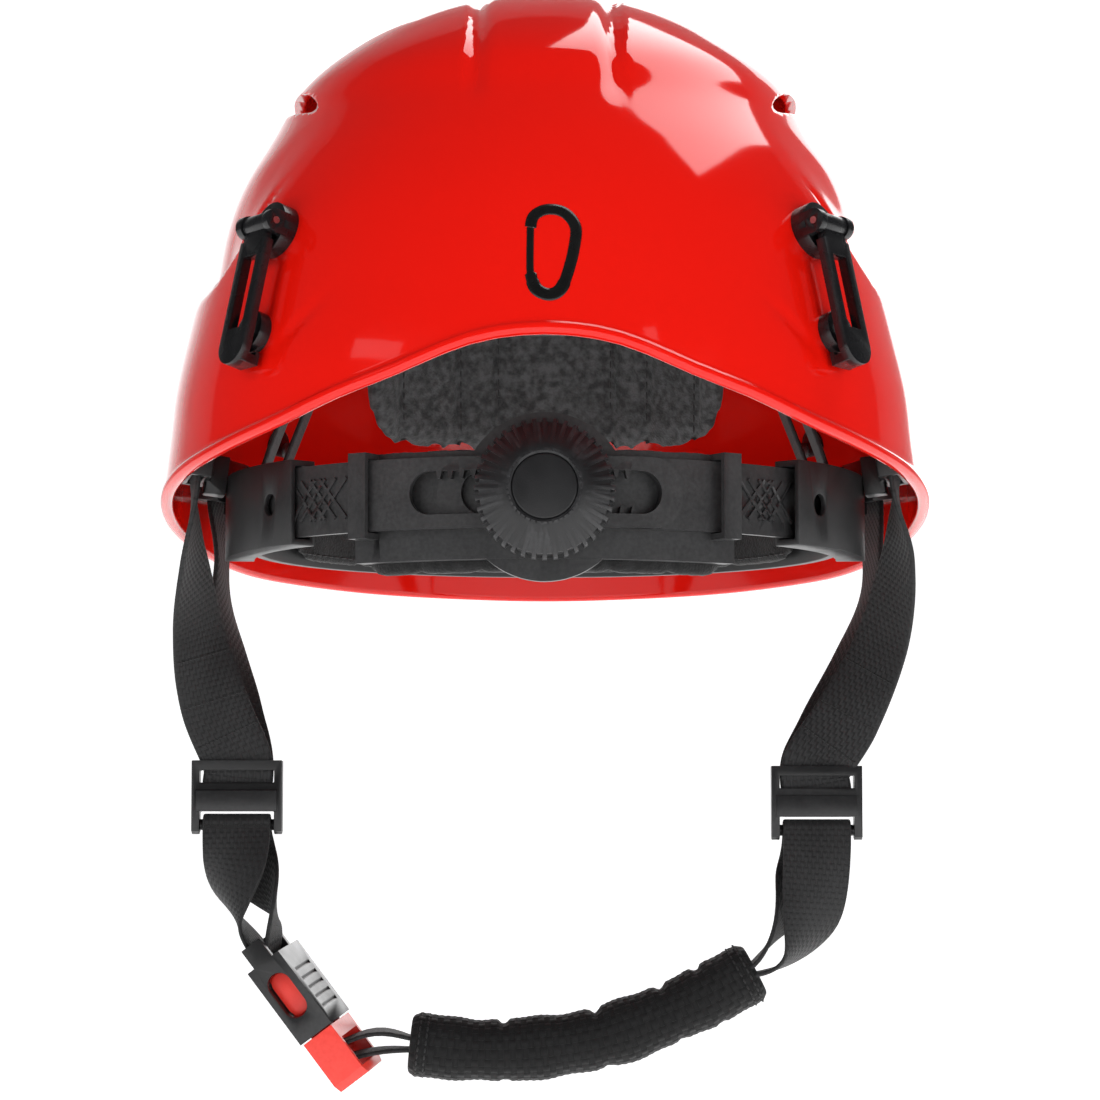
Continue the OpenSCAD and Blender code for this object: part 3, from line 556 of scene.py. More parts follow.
@dataclass
class Strap:
    """A woven strap along a path, with rounded selvedges.

    Attributes:
        width: its width.
        thick: its thickness.
        closed: whether its ends meet.
    """

    width: float = 0.02
    thick: float = 0.0014
    closed: bool = False

    def cross(self) -> list:
        """The cross-section as (share of width, share of thickness) round the edge."""
        edge = [(-0.5, 0.0), (-0.492, -0.36), (-0.47, -0.5)]
        flat = [(-0.47 + 0.94 * k / 8, -0.5) for k in range(1, 8)]
        half = edge + flat + [(0.47, -0.5), (0.492, -0.36)]
        return half + [(-a, -b) for a, b in half]

    def build(self, name: str, path: list, wide: list, finish: Finish) -> bpy.types.Object:
        """Make the strap.

        Args:
            name: the piece's name.
            path: points down its middle.
            wide: the direction of its width at each point.
            finish: its finish.

        Returns:
            The strap.
        """
        n, ring = len(path), self.cross()
        m = len(ring)
        pts, uvs, run = [], [], 0.0
        for i in range(n):
            if self.closed:
                d = (path[(i + 1) % n] - path[i - 1]).normalized()
            else:
                d = (path[min(i + 1, n - 1)] - path[max(i - 1, 0)]).normalized()
            w = (wide[i] - d * wide[i].dot(d)).normalized()
            b = d.cross(w)
            run += (path[i] - path[i - 1]).length if i else 0.0
            for x, y in ring:
                pts.append(path[i] + w * x * self.width + b * y * self.thick)
                uvs.append((x * self.width + self.width, run))
        faces = []
        for i in range(n if self.closed else n - 1):
            j = (i + 1) % n
            for k in range(m):
                faces.append((i * m + k, i * m + (k + 1) % m, j * m + (k + 1) % m, j * m + k))
        if not self.closed:
            faces.append(tuple(range(m))[::-1])
            faces.append(tuple((n - 1) * m + k for k in range(m)))
        return mesh_object(name, pts, faces, finish, uvs)


class StitchTool:
    """Sews rows of stitches along lines with one Geometry Nodes tree."""

    def __init__(self) -> None:
        """Build the tree: resample the lines, put a stitch on each point, realize and set the material."""
        tree = bpy.data.node_groups.new("stitches", "GeometryNodeTree")
        add = tree.interface.new_socket
        add("Geometry", in_out="INPUT", socket_type="NodeSocketGeometry")
        self.ids = {}
        for label, value in (("Spacing", 0.003), ("Length", 0.0022), ("Width", 0.0006)):
            sock = add(label, in_out="INPUT", socket_type="NodeSocketFloat")
            sock.default_value = value
            self.ids[label] = sock.identifier
        mat = add("Thread", in_out="INPUT", socket_type="NodeSocketMaterial")
        self.ids["Thread"] = mat.identifier
        add("Geometry", in_out="OUTPUT", socket_type="NodeSocketGeometry")
        new, link = tree.nodes.new, tree.links.new
        src, out = new("NodeGroupInput"), new("NodeGroupOutput")
        points = new("GeometryNodeCurveToPoints")
        points.mode = "LENGTH"
        link(src.outputs["Geometry"], points.inputs["Curve"])
        link(src.outputs["Spacing"], points.inputs["Length"])
        bead = new("GeometryNodeMeshUVSphere")
        bead.inputs["Segments"].default_value = 8
        bead.inputs["Rings"].default_value = 5
        bead.inputs["Radius"].default_value = 0.5
        size = new("ShaderNodeCombineXYZ")
        link(src.outputs["Width"], size.inputs[0])
        link(src.outputs["Width"], size.inputs[1])
        link(src.outputs["Length"], size.inputs[2])
        align = new("FunctionNodeAlignRotationToVector")
        align.axis = "Z"
        link(points.outputs["Tangent"], align.inputs["Vector"])
        put = new("GeometryNodeInstanceOnPoints")
        link(points.outputs["Points"], put.inputs["Points"])
        link(bead.outputs["Mesh"], put.inputs["Instance"])
        link(align.outputs[0], put.inputs["Rotation"])
        link(size.outputs[0], put.inputs["Scale"])
        real, dye = new("GeometryNodeRealizeInstances"), new("GeometryNodeSetMaterial")
        link(put.outputs[0], real.inputs[0])
        link(real.outputs[0], dye.inputs["Geometry"])
        link(src.outputs["Thread"], dye.inputs["Material"])
        link(dye.outputs[0], out.inputs[0])
        self.tree = tree

    def sew(self, name: str, rows: list, body: Body, slot: str, spacing: float = 0.003,
            length: float = 0.0022,
            width: float = 0.0006, finish: Finish = THREAD) -> bpy.types.Object:
        """Sew rows of stitches as one piece.

        Args:
            name: the piece's name.
            rows: lists of points.
            body: the body it rides on.
            slot: its material slot.
            spacing: from one stitch to the next.
            length: of a stitch.
            width: of the thread.
            finish: the thread's finish.

        Returns:
            The stitches.
        """
        curve = bpy.data.curves.new(name + "_rows", "CURVE")
        curve.dimensions = "3D"
        for row in rows:
            run = curve.splines.new("POLY")
            run.points.add(len(row) - 1)
            for k, p in enumerate(row):
                run.points[k].co = (*p, 1)
        source = bpy.data.objects.new(name + "_rows", curve)
        bpy.context.scene.collection.objects.link(source)
        mod = source.modifiers.new("stitches", "NODES")
        mod.node_group = self.tree
        for label, value in (("Spacing", spacing), ("Length", length), ("Width", width),
            ("Thread", material(finish))):
            mod[self.ids[label]] = value
        bpy.context.view_layer.update()
        mesh = bpy.data.meshes.new_from_object(source.evaluated_get(bpy.context.evaluated_depsgraph_get()))
        bpy.data.objects.remove(source)
        mesh.polygons.foreach_set("use_smooth", [True] * len(mesh.polygons))
        if not mesh.materials:
            mesh.materials.append(material(finish))
        obj = bpy.data.objects.new(name, mesh)
        bpy.context.scene.collection.objects.link(obj)
        return attach(obj, body, slot)


def swell(obj: bpy.types.Object, voxel: float, pressure: float, cap: float) -> None:
    """Blow a closed pad up as cloth, and keep each point near where it started.

    Args:
        obj: the pad, as a closed mesh.
        voxel: voxel size of its remesh.
        pressure: the cloth's inner pressure.
        cap: how far a point may move.
    """
    remesh = obj.modifiers.new("remesh", "REMESH")
    remesh.mode = "VOXEL"
    remesh.voxel_size = voxel
    bake(obj)
    start = np.array([v.co[:] for v in obj.data.vertices])
    cloth = obj.modifiers.new("cloth", "CLOTH")
    cloth.settings.use_pressure = True
    cloth.settings.uniform_pressure_force = pressure
    cloth.settings.quality = 5
    cloth.settings.effector_weights.gravity = 0
    cloth.settings.tension_stiffness = 20
    cloth.settings.compression_stiffness = 20
    cloth.settings.bending_stiffness = 1.5
    cloth.point_cache.frame_end = 20
    for k in range(1, 21):
        bpy.context.scene.frame_set(k)
    bake(obj)
    bpy.context.scene.frame_set(1)
    now = np.array([v.co[:] for v in obj.data.vertices])
    if len(now) == len(start):
        move = now - start
        far = np.linalg.norm(move, axis=1, keepdims=True)
        now = start + move * np.minimum(1.0, cap / np.maximum(far, 1e-9))
        obj.data.vertices.foreach_set("co", now.ravel())
        obj.data.update()


def settle(obj: bpy.types.Object, move: object, smooth: int = 2, divide: bool = True) -> None:
    """Shape a swollen pad's seams, then smooth and subdivide it.

    Args:
        obj: the pad.
        move: takes the points and normals as arrays and returns new points.
        smooth: rounds of smoothing before the shaping.
        divide: whether it gets a subdivision.
    """
    if smooth:
        mod = obj.modifiers.new("smooth", "SMOOTH")
        mod.factor = 0.5
        mod.iterations = smooth
    if divide:
        mod = obj.modifiers.new("divide", "SUBSURF")
        mod.levels = mod.render_levels = 1
    bake(obj)
    mesh = obj.data
    n = len(mesh.vertices)
    p, q = np.zeros(n * 3), np.zeros(n * 3)
    mesh.vertices.foreach_get("co", p)
    mesh.vertex_normals.foreach_get("vector", q)
    mesh.vertices.foreach_set("co", move(p.reshape(-1, 3), q.reshape(-1, 3)).ravel())
    mesh.update()
    mesh.polygons.foreach_set("use_smooth", [True] * len(mesh.polygons))


def soften(node: str, body: str, slot: str, finish: Finish, width: float = 0.0004,
        angle: float = 32.0) -> bpy.types.Object:
    """Stand a bevelled copy of a CAD node in for it, with its moulded edges rounded.

    Args:
        node: the CAD node.
        body: the body it rides on.
        slot: its material slot.
        finish: its finish.
        width: of the rounding.
        angle: edges sharper than this are rounded, in degrees.

    Returns:
        The piece.
    """
    source = bpy.data.objects[node]
    mesh = source.data.copy()
    mesh.materials.clear()
    mesh.materials.append(material(finish))
    bm = bmesh.new()
    bm.from_mesh(mesh)
    bmesh.ops.remove_doubles(bm, verts=bm.verts, dist=2e-6)
    bmesh.ops.dissolve_limit(bm, angle_limit=math.radians(1.5), verts=bm.verts, edges=bm.edges)
    bm.to_mesh(mesh)
    bm.free()
    obj = bpy.data.objects.new(node + "_edged", mesh)
    bpy.context.scene.collection.objects.link(obj)
    mod = obj.modifiers.new("round", "BEVEL")
    mod.width = width
    mod.segments = 2
    mod.limit_method = "ANGLE"
    mod.angle_limit = math.radians(angle)
    mod.harden_normals = False
    bake(obj)
    bm = bmesh.new()
    bm.from_mesh(obj.data)
    sharp = math.radians(38)
    for f in bm.faces:
        f.smooth = True
        f.material_index = 0
    for e in bm.edges:
        e.smooth = not (len(e.link_faces) == 2 and e.calc_face_angle(0) > sharp)
    bm.to_mesh(obj.data)
    bm.free()
    return attach(obj, body, slot, node)


# ---------------------------------------------------------------- shell


@dataclass
class Shell:
    """The hard shell: plan, side profile, crown grooves, side step, vents and rolled rim.

    Attributes:
        half_w: half width at the rim, in mm.
        rear: reach behind the plan centre, in mm.
        front: reach in front of it, in mm.
        yc: the plan centre along Y, in mm.
        plan_n: exponent of the plan, where 2 is an ellipse.
        wall: wall thickness, in mm.
        groove_depth: depth of the crown grooves, in mm.
        groove_x: distance of each groove from the middle, in mm.
        step_height: how far the lower panel stands out, in mm.
        crease_depth: depth of the crease along the step, in mm.
        fold_depth: depth of the short fold below each rear clip, in mm.
        lip: how far the rolled rim stands out, in mm.
        columns: columns of the skin's grid.
        rows: rows above the rim's own.
    """

    half_w: float = 109.8
    rear: float = 131.0
    front: float = 135.0
    yc: float = 4.0
    plan_n: float = 2.05
    wall: float = 2.8
    groove_depth: float = 1.9
    groove_x: float = 19.5
    step_height: float = 4.4
    crease_depth: float = 1.7
    fold_depth: float = 0.8
    lip: float = 0.9
    columns: int = 320
    rows: int = 112

    def __post_init__(self) -> None:
        """Tabulate the side profile and the rim."""
        low = [(1.015, -15), (1, 3.5), (0.9845, 18), (0.969, 33), (0.94, 48), (0.905, 63), (0.86, 78),
            (0.8, 92)]
        high = [(0.726, 106), (0.6585, 119.3), (0.5546, 130), (0.4317, 138.8), (0.31, 144.2), (0.16, 146.3),
            (0, 146.6)]
        prof = low + high
        self.t_max = len(prof) - 1
        ends = [(2 * prof[0][0] - prof[1][0], 2 * prof[0][1] - prof[1][1])] + prof + [(-prof[-2][0],
            prof[-2][1])]
        self.ctl = np.array(ends, float)
        rim = [(-40, 24), (-11, 35), (0, 36.4), (9, 34.5), (18, 25.5), (26, 21.5), (35, 15), (50, 9.5),
            (78, 2.8)]
        rim += [(100, -3), (130, -11), (155, -13.3), (180, -14.4), (220, -12)]
        self.rim_at = np.array(rim, float)
        knots = spline([(y, z, 0) for y,
            z in ((-92, 116), (-80, 101), (-66, 82), (-59, 71), (-48, 61), (-36, 58), (-12, 57), (30, 55),
            (90, 53))], 12)
        self.step_y, self.step_z = (np.array([k[i] for k in knots]) for i in (0, 1))
        self.grid_t = np.linspace(0, self.t_max, 1401)
        self.grid_z = self.profile(self.grid_t)[1]

    def profile(self, t: np.ndarray) -> tuple:
        """Share of the plan and height at a place up the side.

        Args:
            t: place up the side, from 0 to t_max.

        Returns:
            The share and the height in mm.
        """
        i = np.clip(np.floor(t).astype(int), 0, self.t_max - 1)
        f = (t - i)[..., None]
        a, b, c, d = (self.ctl[i + k] for k in range(4))
        p = b + 0.5 * f * ((c - a) + f * (2 * a - 5 * b + 4 * c - d + f * (3 * (b - c) + d - a)))
        return p[..., 0], p[..., 1]

    def t_of(self, z: np.ndarray) -> np.ndarray:
        """Place up the side of a height in mm."""
        return np.interp(z, self.grid_z, self.grid_t)

    def rim_z(self, th: np.ndarray) -> np.ndarray:
        """Height of the rim at a bearing in radians."""
        a = np.degrees(np.arccos(np.clip(-np.sin(th), -1, 1)))
        x, y = self.rim_at[:, 0], self.rim_at[:, 1]
        return sum(w * np.interp(a + s, x, y) for s,
            w in ((-6, 0.12), (-3, 0.23), (0, 0.3), (3, 0.23), (6, 0.12)))

    def base(self, th: np.ndarray, t: np.ndarray) -> np.ndarray:
        """The plain form without its relief, in mm."""
        u, z = self.profile(t)
        c, s = np.cos(th), np.sin(th)
        reach = np.where(s > 0, self.front, self.rear)
        r = u / (np.abs(c / self.half_w) ** self.plan_n + np.abs(s / reach) ** self.plan_n) ** (1
            / self.plan_n)
        return np.stack([r * c, self.yc + r * s, z], axis=-1)

    def normal(self, th: np.ndarray, t: np.ndarray) -> np.ndarray:
        """The plain form's outward normal."""
        lo, hi = np.minimum(t + 0.02, self.t_max), np.maximum(t - 0.02, 0)
        n = np.cross(self.base(th + 0.008, t) - self.base(th - 0.008, t),
            self.base(th, lo) - self.base(th, hi))
        size = np.linalg.norm(n, axis=-1, keepdims=True)
        flat = (t > self.t_max - 0.02)[..., None]
        return np.where(flat, [0.0, 0.0, 1.0], n / np.maximum(size, 1e-9))

    @staticmethod
    def ease(x: np.ndarray) -> np.ndarray:
        """Smooth step from 0 to 1."""
        x = np.clip(x, 0, 1)
        return x * x * (3 - 2 * x)

    def relief(self, p: np.ndarray, up: np.ndarray) -> np.ndarray:
        """Height of the crown grooves, side step, crease and rim lip over the plain form.

        Args:
            p: points of the plain form, in mm.
            up: height above the rim, in mm.

        Returns:
            The height in mm.
        """
        x, y, z = np.abs(p[..., 0]), p[..., 1], p[..., 2]
        ease = self.ease
        wide = self.groove_x + 0.8 * ease((y + 60) / 60)
        inner = np.exp(-(((x - wide) / 3.2) ** 2)) * (x < wide)
        outer = np.exp(-(((x - wide) / 1.3) ** 2)) * (x >= wide)
        crown = -self.groove_depth * (inner + outer) * ease((y + 98) / 16) * ease((100 - y)
            / 22) * ease((z - 98) / 12)
        line = np.interp(y, self.step_y, self.step_z)
        over = z - line
        drop = ease(over / 3.0) * (1 - ease(over / 38)) * self.step_height
        crease = self.crease_depth * np.exp(-(((over - 2.0) / 1.5) ** 2))
        side = -(drop * ease((y + 66) / 30) + crease * ease((y + 68) / 7)) * ease((84 - y)
            / 36) * ease((x - 45) / 12)
        fold = -self.fold_depth * np.exp(-(((z - 37 + (y + 92) * 1.5) / 2.2) ** 2)) * np.exp(-(((y + 94.5)
            / 4) ** 2)) * ease((x - 50) / 10)
        roll = self.lip * (1 - ease((up - 1.1) / 1.0))
        return crown + side + fold + roll

    def skin(self, th: np.ndarray, t: np.ndarray, up: np.ndarray, inset: float) -> np.ndarray:
        """Points of the outer or inner skin, in mm.

        Args:
            th: bearings in radians.
            t: places up the side.
            up: heights above the rim.
            inset: how far inside the outer skin.

        Returns:
            The points.
        """
        p = self.base(th, t)
        return p + self.normal(th, t) * (self.relief(p, up) - inset)[..., None]

    def build(self) -> bpy.types.Object:
        """Make the shell with its vents cut through.

        Returns:
            The shell.
        """
        th = np.linspace(0, 2 * math.pi, self.columns, endpoint=False)
        rim = self.rim_z(th)
        ups = [0.0, 0.5, 1.0, 1.4, 1.8, 2.3, 3.2, 4.6]
        rows = [(self.t_of(rim + u), np.full_like(rim, u)) for u in ups]
        t0 = rows[-1][0]
        for k in range(1, self.rows):
            rows.append((t0 + (self.t_max - t0) * k / self.rows, np.full_like(rim, 50.0)))
        outer = [self.skin(th, t, up, 0.0) for t, up in rows]
        inner = [self.skin(th, t, np.full_like(up, 50.0), self.wall) for t, up in rows]
        lip = []
        a, b, n = outer[0], inner[0], self.normal(th, rows[0][0])
        low = np.array([0.0, 0.0, -1.0])
        for k in range(1, 6):
            g = math.pi * k / 6
            lip.append((a + b) / 2 + (a - b) / 2 * math.cos(g) + low * math.sin(g) * 1.3)
        rings = outer[::-1] + lip + inner
        pts = np.concatenate(rings
            + [np.array([[0, self.yc, 146.6]]), np.array([[0, self.yc, 146.6 - self.wall]])]) * MM
        c, faces = self.columns, []
        for j in range(len(rings) - 1):
            for i in range(c):
                k = (i + 1) % c
                faces.append((j * c + i, (j + 1) * c + i, (j + 1) * c + k, j * c + k))
        top, last, end = len(pts) - 2, len(pts) - 1, (len(rings) - 1) * c
        for i in range(c):
            k = (i + 1) % c
            faces.append((top, i, k))
            faces.append((last, end + k, end + i))
        obj = mesh_object("shell_skin", pts, faces, SHELL_RED)
        for side in Side:
            self.cut_vent(obj, side)
        attach(obj, Body.HELMET, "shell_red", "shell")
        return obj

    def cut_vent(self, shell: bpy.types.Object, side: Side) -> None:
        """Cut a slot vent through the upper side.

        Args:
            shell: the shell.
            side: which side.
        """
        bm = bmesh.new()
        ring = []
        for k in range(24):
            a = 2 * math.pi * k / 24
            y = 39.0 * math.copysign(abs(math.cos(a)) ** 0.8, math.cos(a))
            z = (3.9 + 0.012 * y) * math.copysign(abs(math.sin(a)) ** 0.8, math.sin(a))
            ring.append((y - 14.0, z + 113.0 - 0.0045 * max(0.0, -6.0 - y) ** 2))
        loops = []
        for x, lift in ((50.0, -3.0), (95.0, 5.0)):
            loops.append([bm.verts.new((side.value * x * MM, y * MM, (z + lift) * MM)) for y, z in ring])
        for k in range(24):
            bm.faces.new((loops[0][k], loops[0][(k + 1) % 24], loops[1][(k + 1) % 24], loops[1][k]))
        bm.faces.new(loops[0][::-1])
        bm.faces.new(loops[1])
        bmesh.ops.recalc_face_normals(bm, faces=bm.faces)
        mesh = bpy.data.meshes.new("vent")
        bm.to_mesh(mesh)
        bm.free()
        mesh.materials.append(material(SHELL_RED))
        cutter = bpy.data.objects.new("vent", mesh)
        bpy.context.scene.collection.objects.link(cutter)
        mod = shell.modifiers.new("vent", "BOOLEAN")
        mod.operation = "DIFFERENCE"
        mod.solver = "EXACT"
        mod.object = cutter
        bake(shell)
        bpy.data.objects.remove(cutter)

    def print_badge(self, shell: bpy.types.Object) -> bpy.types.Object:
        """Pad-print a plain carabiner outline on the rear of the shell.

        Args:
            shell: the finished shell.

        Returns:
            The print, a skin 0.1 mm proud.
        """
        bm = bmesh.new()
        bm.from_mesh(shell.data)
        tree = BVHTree.FromBMesh(bm)
        bm.free()
        mid = [(-5.5, 7), (-4.6, 10.2), (-1.2, 12), (3.2, 11.2), (6.2, 7.4), (6.0, 2), (4.4, -5),
            (2.4, -10), (-0.6, -11.6), (-4, -10), (-5.4, -6)]
        path = [Vector((x, 0, z)) for x, z in mid]
        run = spline(path + [Vector((-5.6, 0, -2)), Vector((-5.55, 0, 3)), Vector((-5.5, 0, 7))], 8)
        pts, faces = [], []
        n = len(run)
        for i, p in enumerate(run):
            d = (run[min(i + 1, n - 1)] - run[max(i - 1, 0)]).normalized()
            side = Vector((d.z, 0, -d.x))
            gate = 0.62 if i > 8 * 10 else 1.0
            half = (1.5 if p.z > -8 else 1.7) * gate
            for k in range(5):
                q = p + side * half * (k / 2 - 1)
                hit, nor, _, _ = tree.ray_cast(Vector(((1.8 + q.x) * MM, -0.2, (56.5 + q.z) * MM)),
                    Vector((0, 1, 0)))
                pts.append(hit + nor * 0.00010)
        for i in range(n - 1):
            for k in range(4):
                faces.append((i * 5 + k, i * 5 + k + 1, (i + 1) * 5 + k + 1, (i + 1) * 5 + k))
        obj = mesh_object("shell_print", pts, faces, PRINT, fix=False)
        flip = obj.data.polygons[0].normal.y > 0
        if flip:
            obj.data.flip_normals()
        mod = obj.modifiers.new("thick", "SOLIDIFY")
        mod.thickness = 0.00008
        mod.offset = 0
        bake(obj)
        return attach(obj, Body.HELMET, "hardware_black")


# ---------------------------------------------------------------- straps


@dataclass
class Harness:
    """The chin harness: four upper straps, two lower loops and the buckle strands.

    Attributes:
        stitch: the stitching tool.
    """

    stitch: StitchTool
    hang_z: float = 14.0
    hang_n: float = -7.8
    div_l: tuple = (-88.5, 0.0, -83.4)
    div_r: tuple = (78.0, 0.0, -85.0)
    bar_drop: float = -6.8
    buckle: tuple = (-81.0, 0.0, -124.0)
    tilt: float = 143.0
    roll: float = 11.0

    def on_hanger(self, shell: Shell, th: float, y: float) -> tuple:
        """A place in a hanger's slot.

        Args:
            shell: the shell.
            th: the hanger's bearing in degrees.
            y: how far up the shell.

        Returns:
            The point in mm and the webbing's width direction.
        """
        a = np.array([math.radians(th)])
        t = shell.t_of(np.array([self.hang_z]))
        p, n = shell.base(a, t)[0], shell.normal(a, t)[0]
        u = shell.base(a, t + 0.02)[0] - shell.base(a, t - 0.02)[0]
        u = u / np.linalg.norm(u)
        return Vector(p + u * y + n * self.hang_n), Vector(np.cross(u, n)) * -1

    def upper(self, shell: Shell) -> None:
        """Make the four straps from the hangers to the dividers.

        Args:
            shell: the shell.
        """
        dl, dr = Vector(self.div_l), Vector(self.div_r)
        rows = {
            "strap_rear_left": (196, [(-100.5, -17, -14), (-99.8, -6, -34), (-95, -2, -56)],
            dl + Vector((-0.2, -1, 12)),
                                [(0.2, 0.95, 0.1), (0.6, 0.75, 0.1), (0.94, 0.25, 0.1), (1, 0, 0.1)]),
            "strap_rear_right": (-16, [(100.8, -17, -14), (96.6, -7, -38), (86.5, -2, -60)],
            dr + Vector((0.2, -1, 12)),
                                 [(0.3, -0.9, 0.1), (0.65, -0.7, 0.1), (0.9, -0.3, 0.1), (1, 0, 0.1)]),
            "strap_front_left": (160, [(-96, 31, -16), (-93.6, 18, -36), (-91.5, 7, -56)],
            dl + Vector((0.2, 1, 12)),
                                 [(0.1, 0.9, -0.4), (0.5, 0.8, -0.3), (0.92, 0.35, -0.1), (1, 0, 0.1)]),
            "strap_front_right": (20, [(97, 31, -16), (91, 18, -38), (83, 7, -60)],
            dr + Vector((-0.2, 1, 12)),
                                  [(0.2, -0.9, 0.4), (0.6, -0.75, 0.3), (0.9, -0.35, 0.1), (1, 0, 0.1)]),
        }
        for name, (th, mids, end, wide) in rows.items():
            top, w = self.on_hanger(shell, th, 5)
            knee, _ = self.on_hanger(shell, th, -8)
            slot = end - Vector((end.x - (dl if "left" in name else dr).x, 0, 7.6))
            path = [p * MM for p in spline([top, knee] + [Vector(m) for m in mids] + [end, slot], 14)]
            dirs = spline([w, w] + [Vector(v) for v in wide] + [Vector((1, 0, 0))], 14)
            obj = Strap().build(name + "_web", path, dirs, WEB_BLACK)
            attach(obj, Body.HELMET, "webbing_black", name)
            rows_out = []
            for k in (-22, -30, -38):
                i = len(path) + k
                d = (path[i + 1] - path[i - 1]).normalized()
                w2 = (dirs[i] - d * dirs[i].dot(d)).normalized()
                out = d.cross(w2) * 0.00075
                sign = 1 if out.y < 0 else -1
                rows_out.append([path[i] + out * sign + w2 * 0.0086 * (j / 6 - 1) for j in range(13)])
            self.stitch.sew(name + "_tack", rows_out, Body.HELMET, "webbing_black", 0.0013, 0.0012, 0.00045)

    def axes(self) -> tuple:
        """The buckle's across-thickness, across-width and lengthwise directions."""
        t, r = math.radians(self.tilt), math.radians(self.roll)
        z = Vector((math.sin(t), 0, math.cos(t)))
        y = Vector((-math.sin(r) * math.cos(t), math.cos(r), math.sin(r) * math.sin(t)))
        return y.cross(z), y, z

    def loop(self, name: str, c0: Vector, c1: Vector, r0: float, r1: float, w1: Vector, t1: Vector,
            side: int, bulge: float,
             closed: bool) -> bpy.types.Object:
        """A webbing loop from an upper bar, with a quarter turn, to a lower bar or the sleeve.

        Args:
            name: the piece's name.
            c0: middle of the upper bar, in mm.
            c1: middle of the lower bar or end, in mm.
            r0: the loop's radius round the upper bar.
            r1: its half spacing at the lower end.
            w1: the width direction at the lower end.
            t1: the direction of travel at the lower end.
            side: which way it turns.
            bulge: how far the plies bow apart.
            closed: whether it goes round the lower bar too.

        Returns:
            The loop.
        """
        t0, n0 = Vector((0, 0, -1)), Vector((0, 1, 0))
        s1 = w1.cross(t1).normalized() * side
        reach = (c1 - c0).length

        def mid(f: float) -> Vector:
            """Point midway between the plies."""
            a, b = f * f, f * f * f
            return c0 * (2 * b - 3 * a + 1) + t0 * reach * (b - 2 * a + f) + c1 * (3 * a - 2
                * b) + t1 * reach * (b - a)

        def turn(f: float) -> Vector:
            """Direction from one ply to the other."""
            g = f * f * (3 - 2 * f)
            return (n0 * (1 - g) + s1 * g).normalized()

        def half(f: float) -> float:
            """Half spacing of the plies."""
            return r0 + (r1 - r0) * f + bulge * math.sin(math.pi * f)

        def wide(f: float) -> Vector:
            """Direction of the width."""
            return (mid(f + 0.01) - mid(f - 0.01)).cross(turn(f)).normalized()

        arc = [math.radians(-90 + 15 * k) for k in range(13)]
        fs = [k / 28 for k in range(1, 28)]
        top = [c0 + (n0 * math.sin(a) - t0 * math.cos(a)) * r0 for a in arc]
        down = [mid(f) + turn(f) * half(f) for f in fs]
        up = [mid(f) - turn(f) * half(f) for f in fs[::-1]]
        w_top, w_dn = [t0.cross(n0)] * 13, [wide(f) for f in fs]
        w_up, w_end = w_dn[::-1], t1.cross(s1)
        strap = Strap(width=0.0194, thick=0.0012, closed=closed)
        if closed:
            under = [c1 + (s1 * math.sin(-a) + t1 * math.cos(a)) * r1 for a in arc]
            path, across = top + down + under + up, w_top + w_dn + [w_end] * 13 + w_up
        else:
            tail = [c1 + t1 * 3 - s1, c1 - s1 * half(1)]
            path, across = tail + up + top + down + [c1 + s1 * half(1),
                c1 + t1 * 3 + s1], [w_end] * 2 + w_up + w_top + w_dn + [w_end] * 2
        return strap.build(name, [p * MM for p in path], across, WEB_BLACK)

    def lower(self) -> None:
        """Make the two lower loops and the strands from the buckle to the chin sleeve."""
        drop = Vector((0, 0, self.bar_drop))
        bx, by, bz = self.axes()
        bk = Vector(self.buckle)
        bar, low = Vector(self.div_l) + drop, bk + bz * 1.4
        fall = (low - bar).normalized()
        left = self.loop("lower_left_web", bar, low, 2.55, 2.25, by,
            (fall - by * fall.dot(by)).normalized(), -1, 4.4, True)
        attach(left, Body.CHIN, "webbing_black", "lower_strap_left")
        end = Vector((60, 0, -131.6)) + Vector((18, 0, 9.4)) * (0.2 / 20.3)
        top = Vector(self.div_r) + drop
        right = self.loop("lower_right_web", top, end, 2.55, 1.5, Vector((0, 1, 0)),
            -Vector((18, 0, 9.4)).normalized(), 1, 4.0, False)
        attach(right, Body.CHIN, "webbing_black", "lower_strap_right")
        c = bk + bz * 38.5
        e = Vector((-38.8, 0, -152.6))
        d = (e - c - by * (e - c).dot(by)).normalized()
        n = d.cross(by).normalized()
        r = 2.25
        bend = [c + (d * math.cos(a) + n * math.sin(a)) * r
            for a in (math.radians(90 + 15 * k) for k in range(13))]
        hi, lo = e + Vector((0, 0, 1.7)), e - Vector((0, 0, 1.7))
        first, last = (hi, lo) if n.z > 0 else (lo, hi)
        fs = [k / 8 for k in range(8)]
        rise = [2.4, 0.9] if n.z > 0 else [0.9, 2.4]
        bow = [[Vector((0, 0, lift * math.sin(math.pi * f))) for f in fs] for lift in rise]
        tuck = Vector((3.5, 0, 0.3))
        path = [first + tuck] + [first + (bend[0] - first) * f + b for f, b in zip(fs, bow[0])] + bend
        path += [last + (bend[-1] - last) * f + b for f, b in zip(fs[::-1], bow[1][::-1])] + [last + tuck]
        ey = Vector((0, 1, 0))
        wide = [ey] + [ey * (1 - f) + by * f for f in fs] + [by] * 13 + [ey * (1 - f) + by * f
            for f in fs[::-1]] + [ey]
        obj = Strap(width=0.016, thick=0.0012).build("chin_strand_web", [p * MM for p in path], wide,
            WEB_BLACK)
        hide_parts("chin_strands")
        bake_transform(obj, Body.CHIN.value, Body.INSERT.value, start=tuple(e * MM),
            end=tuple((c + (e - c).normalized() * 2.6) * MM))


# ---------------------------------------------------------------- pads


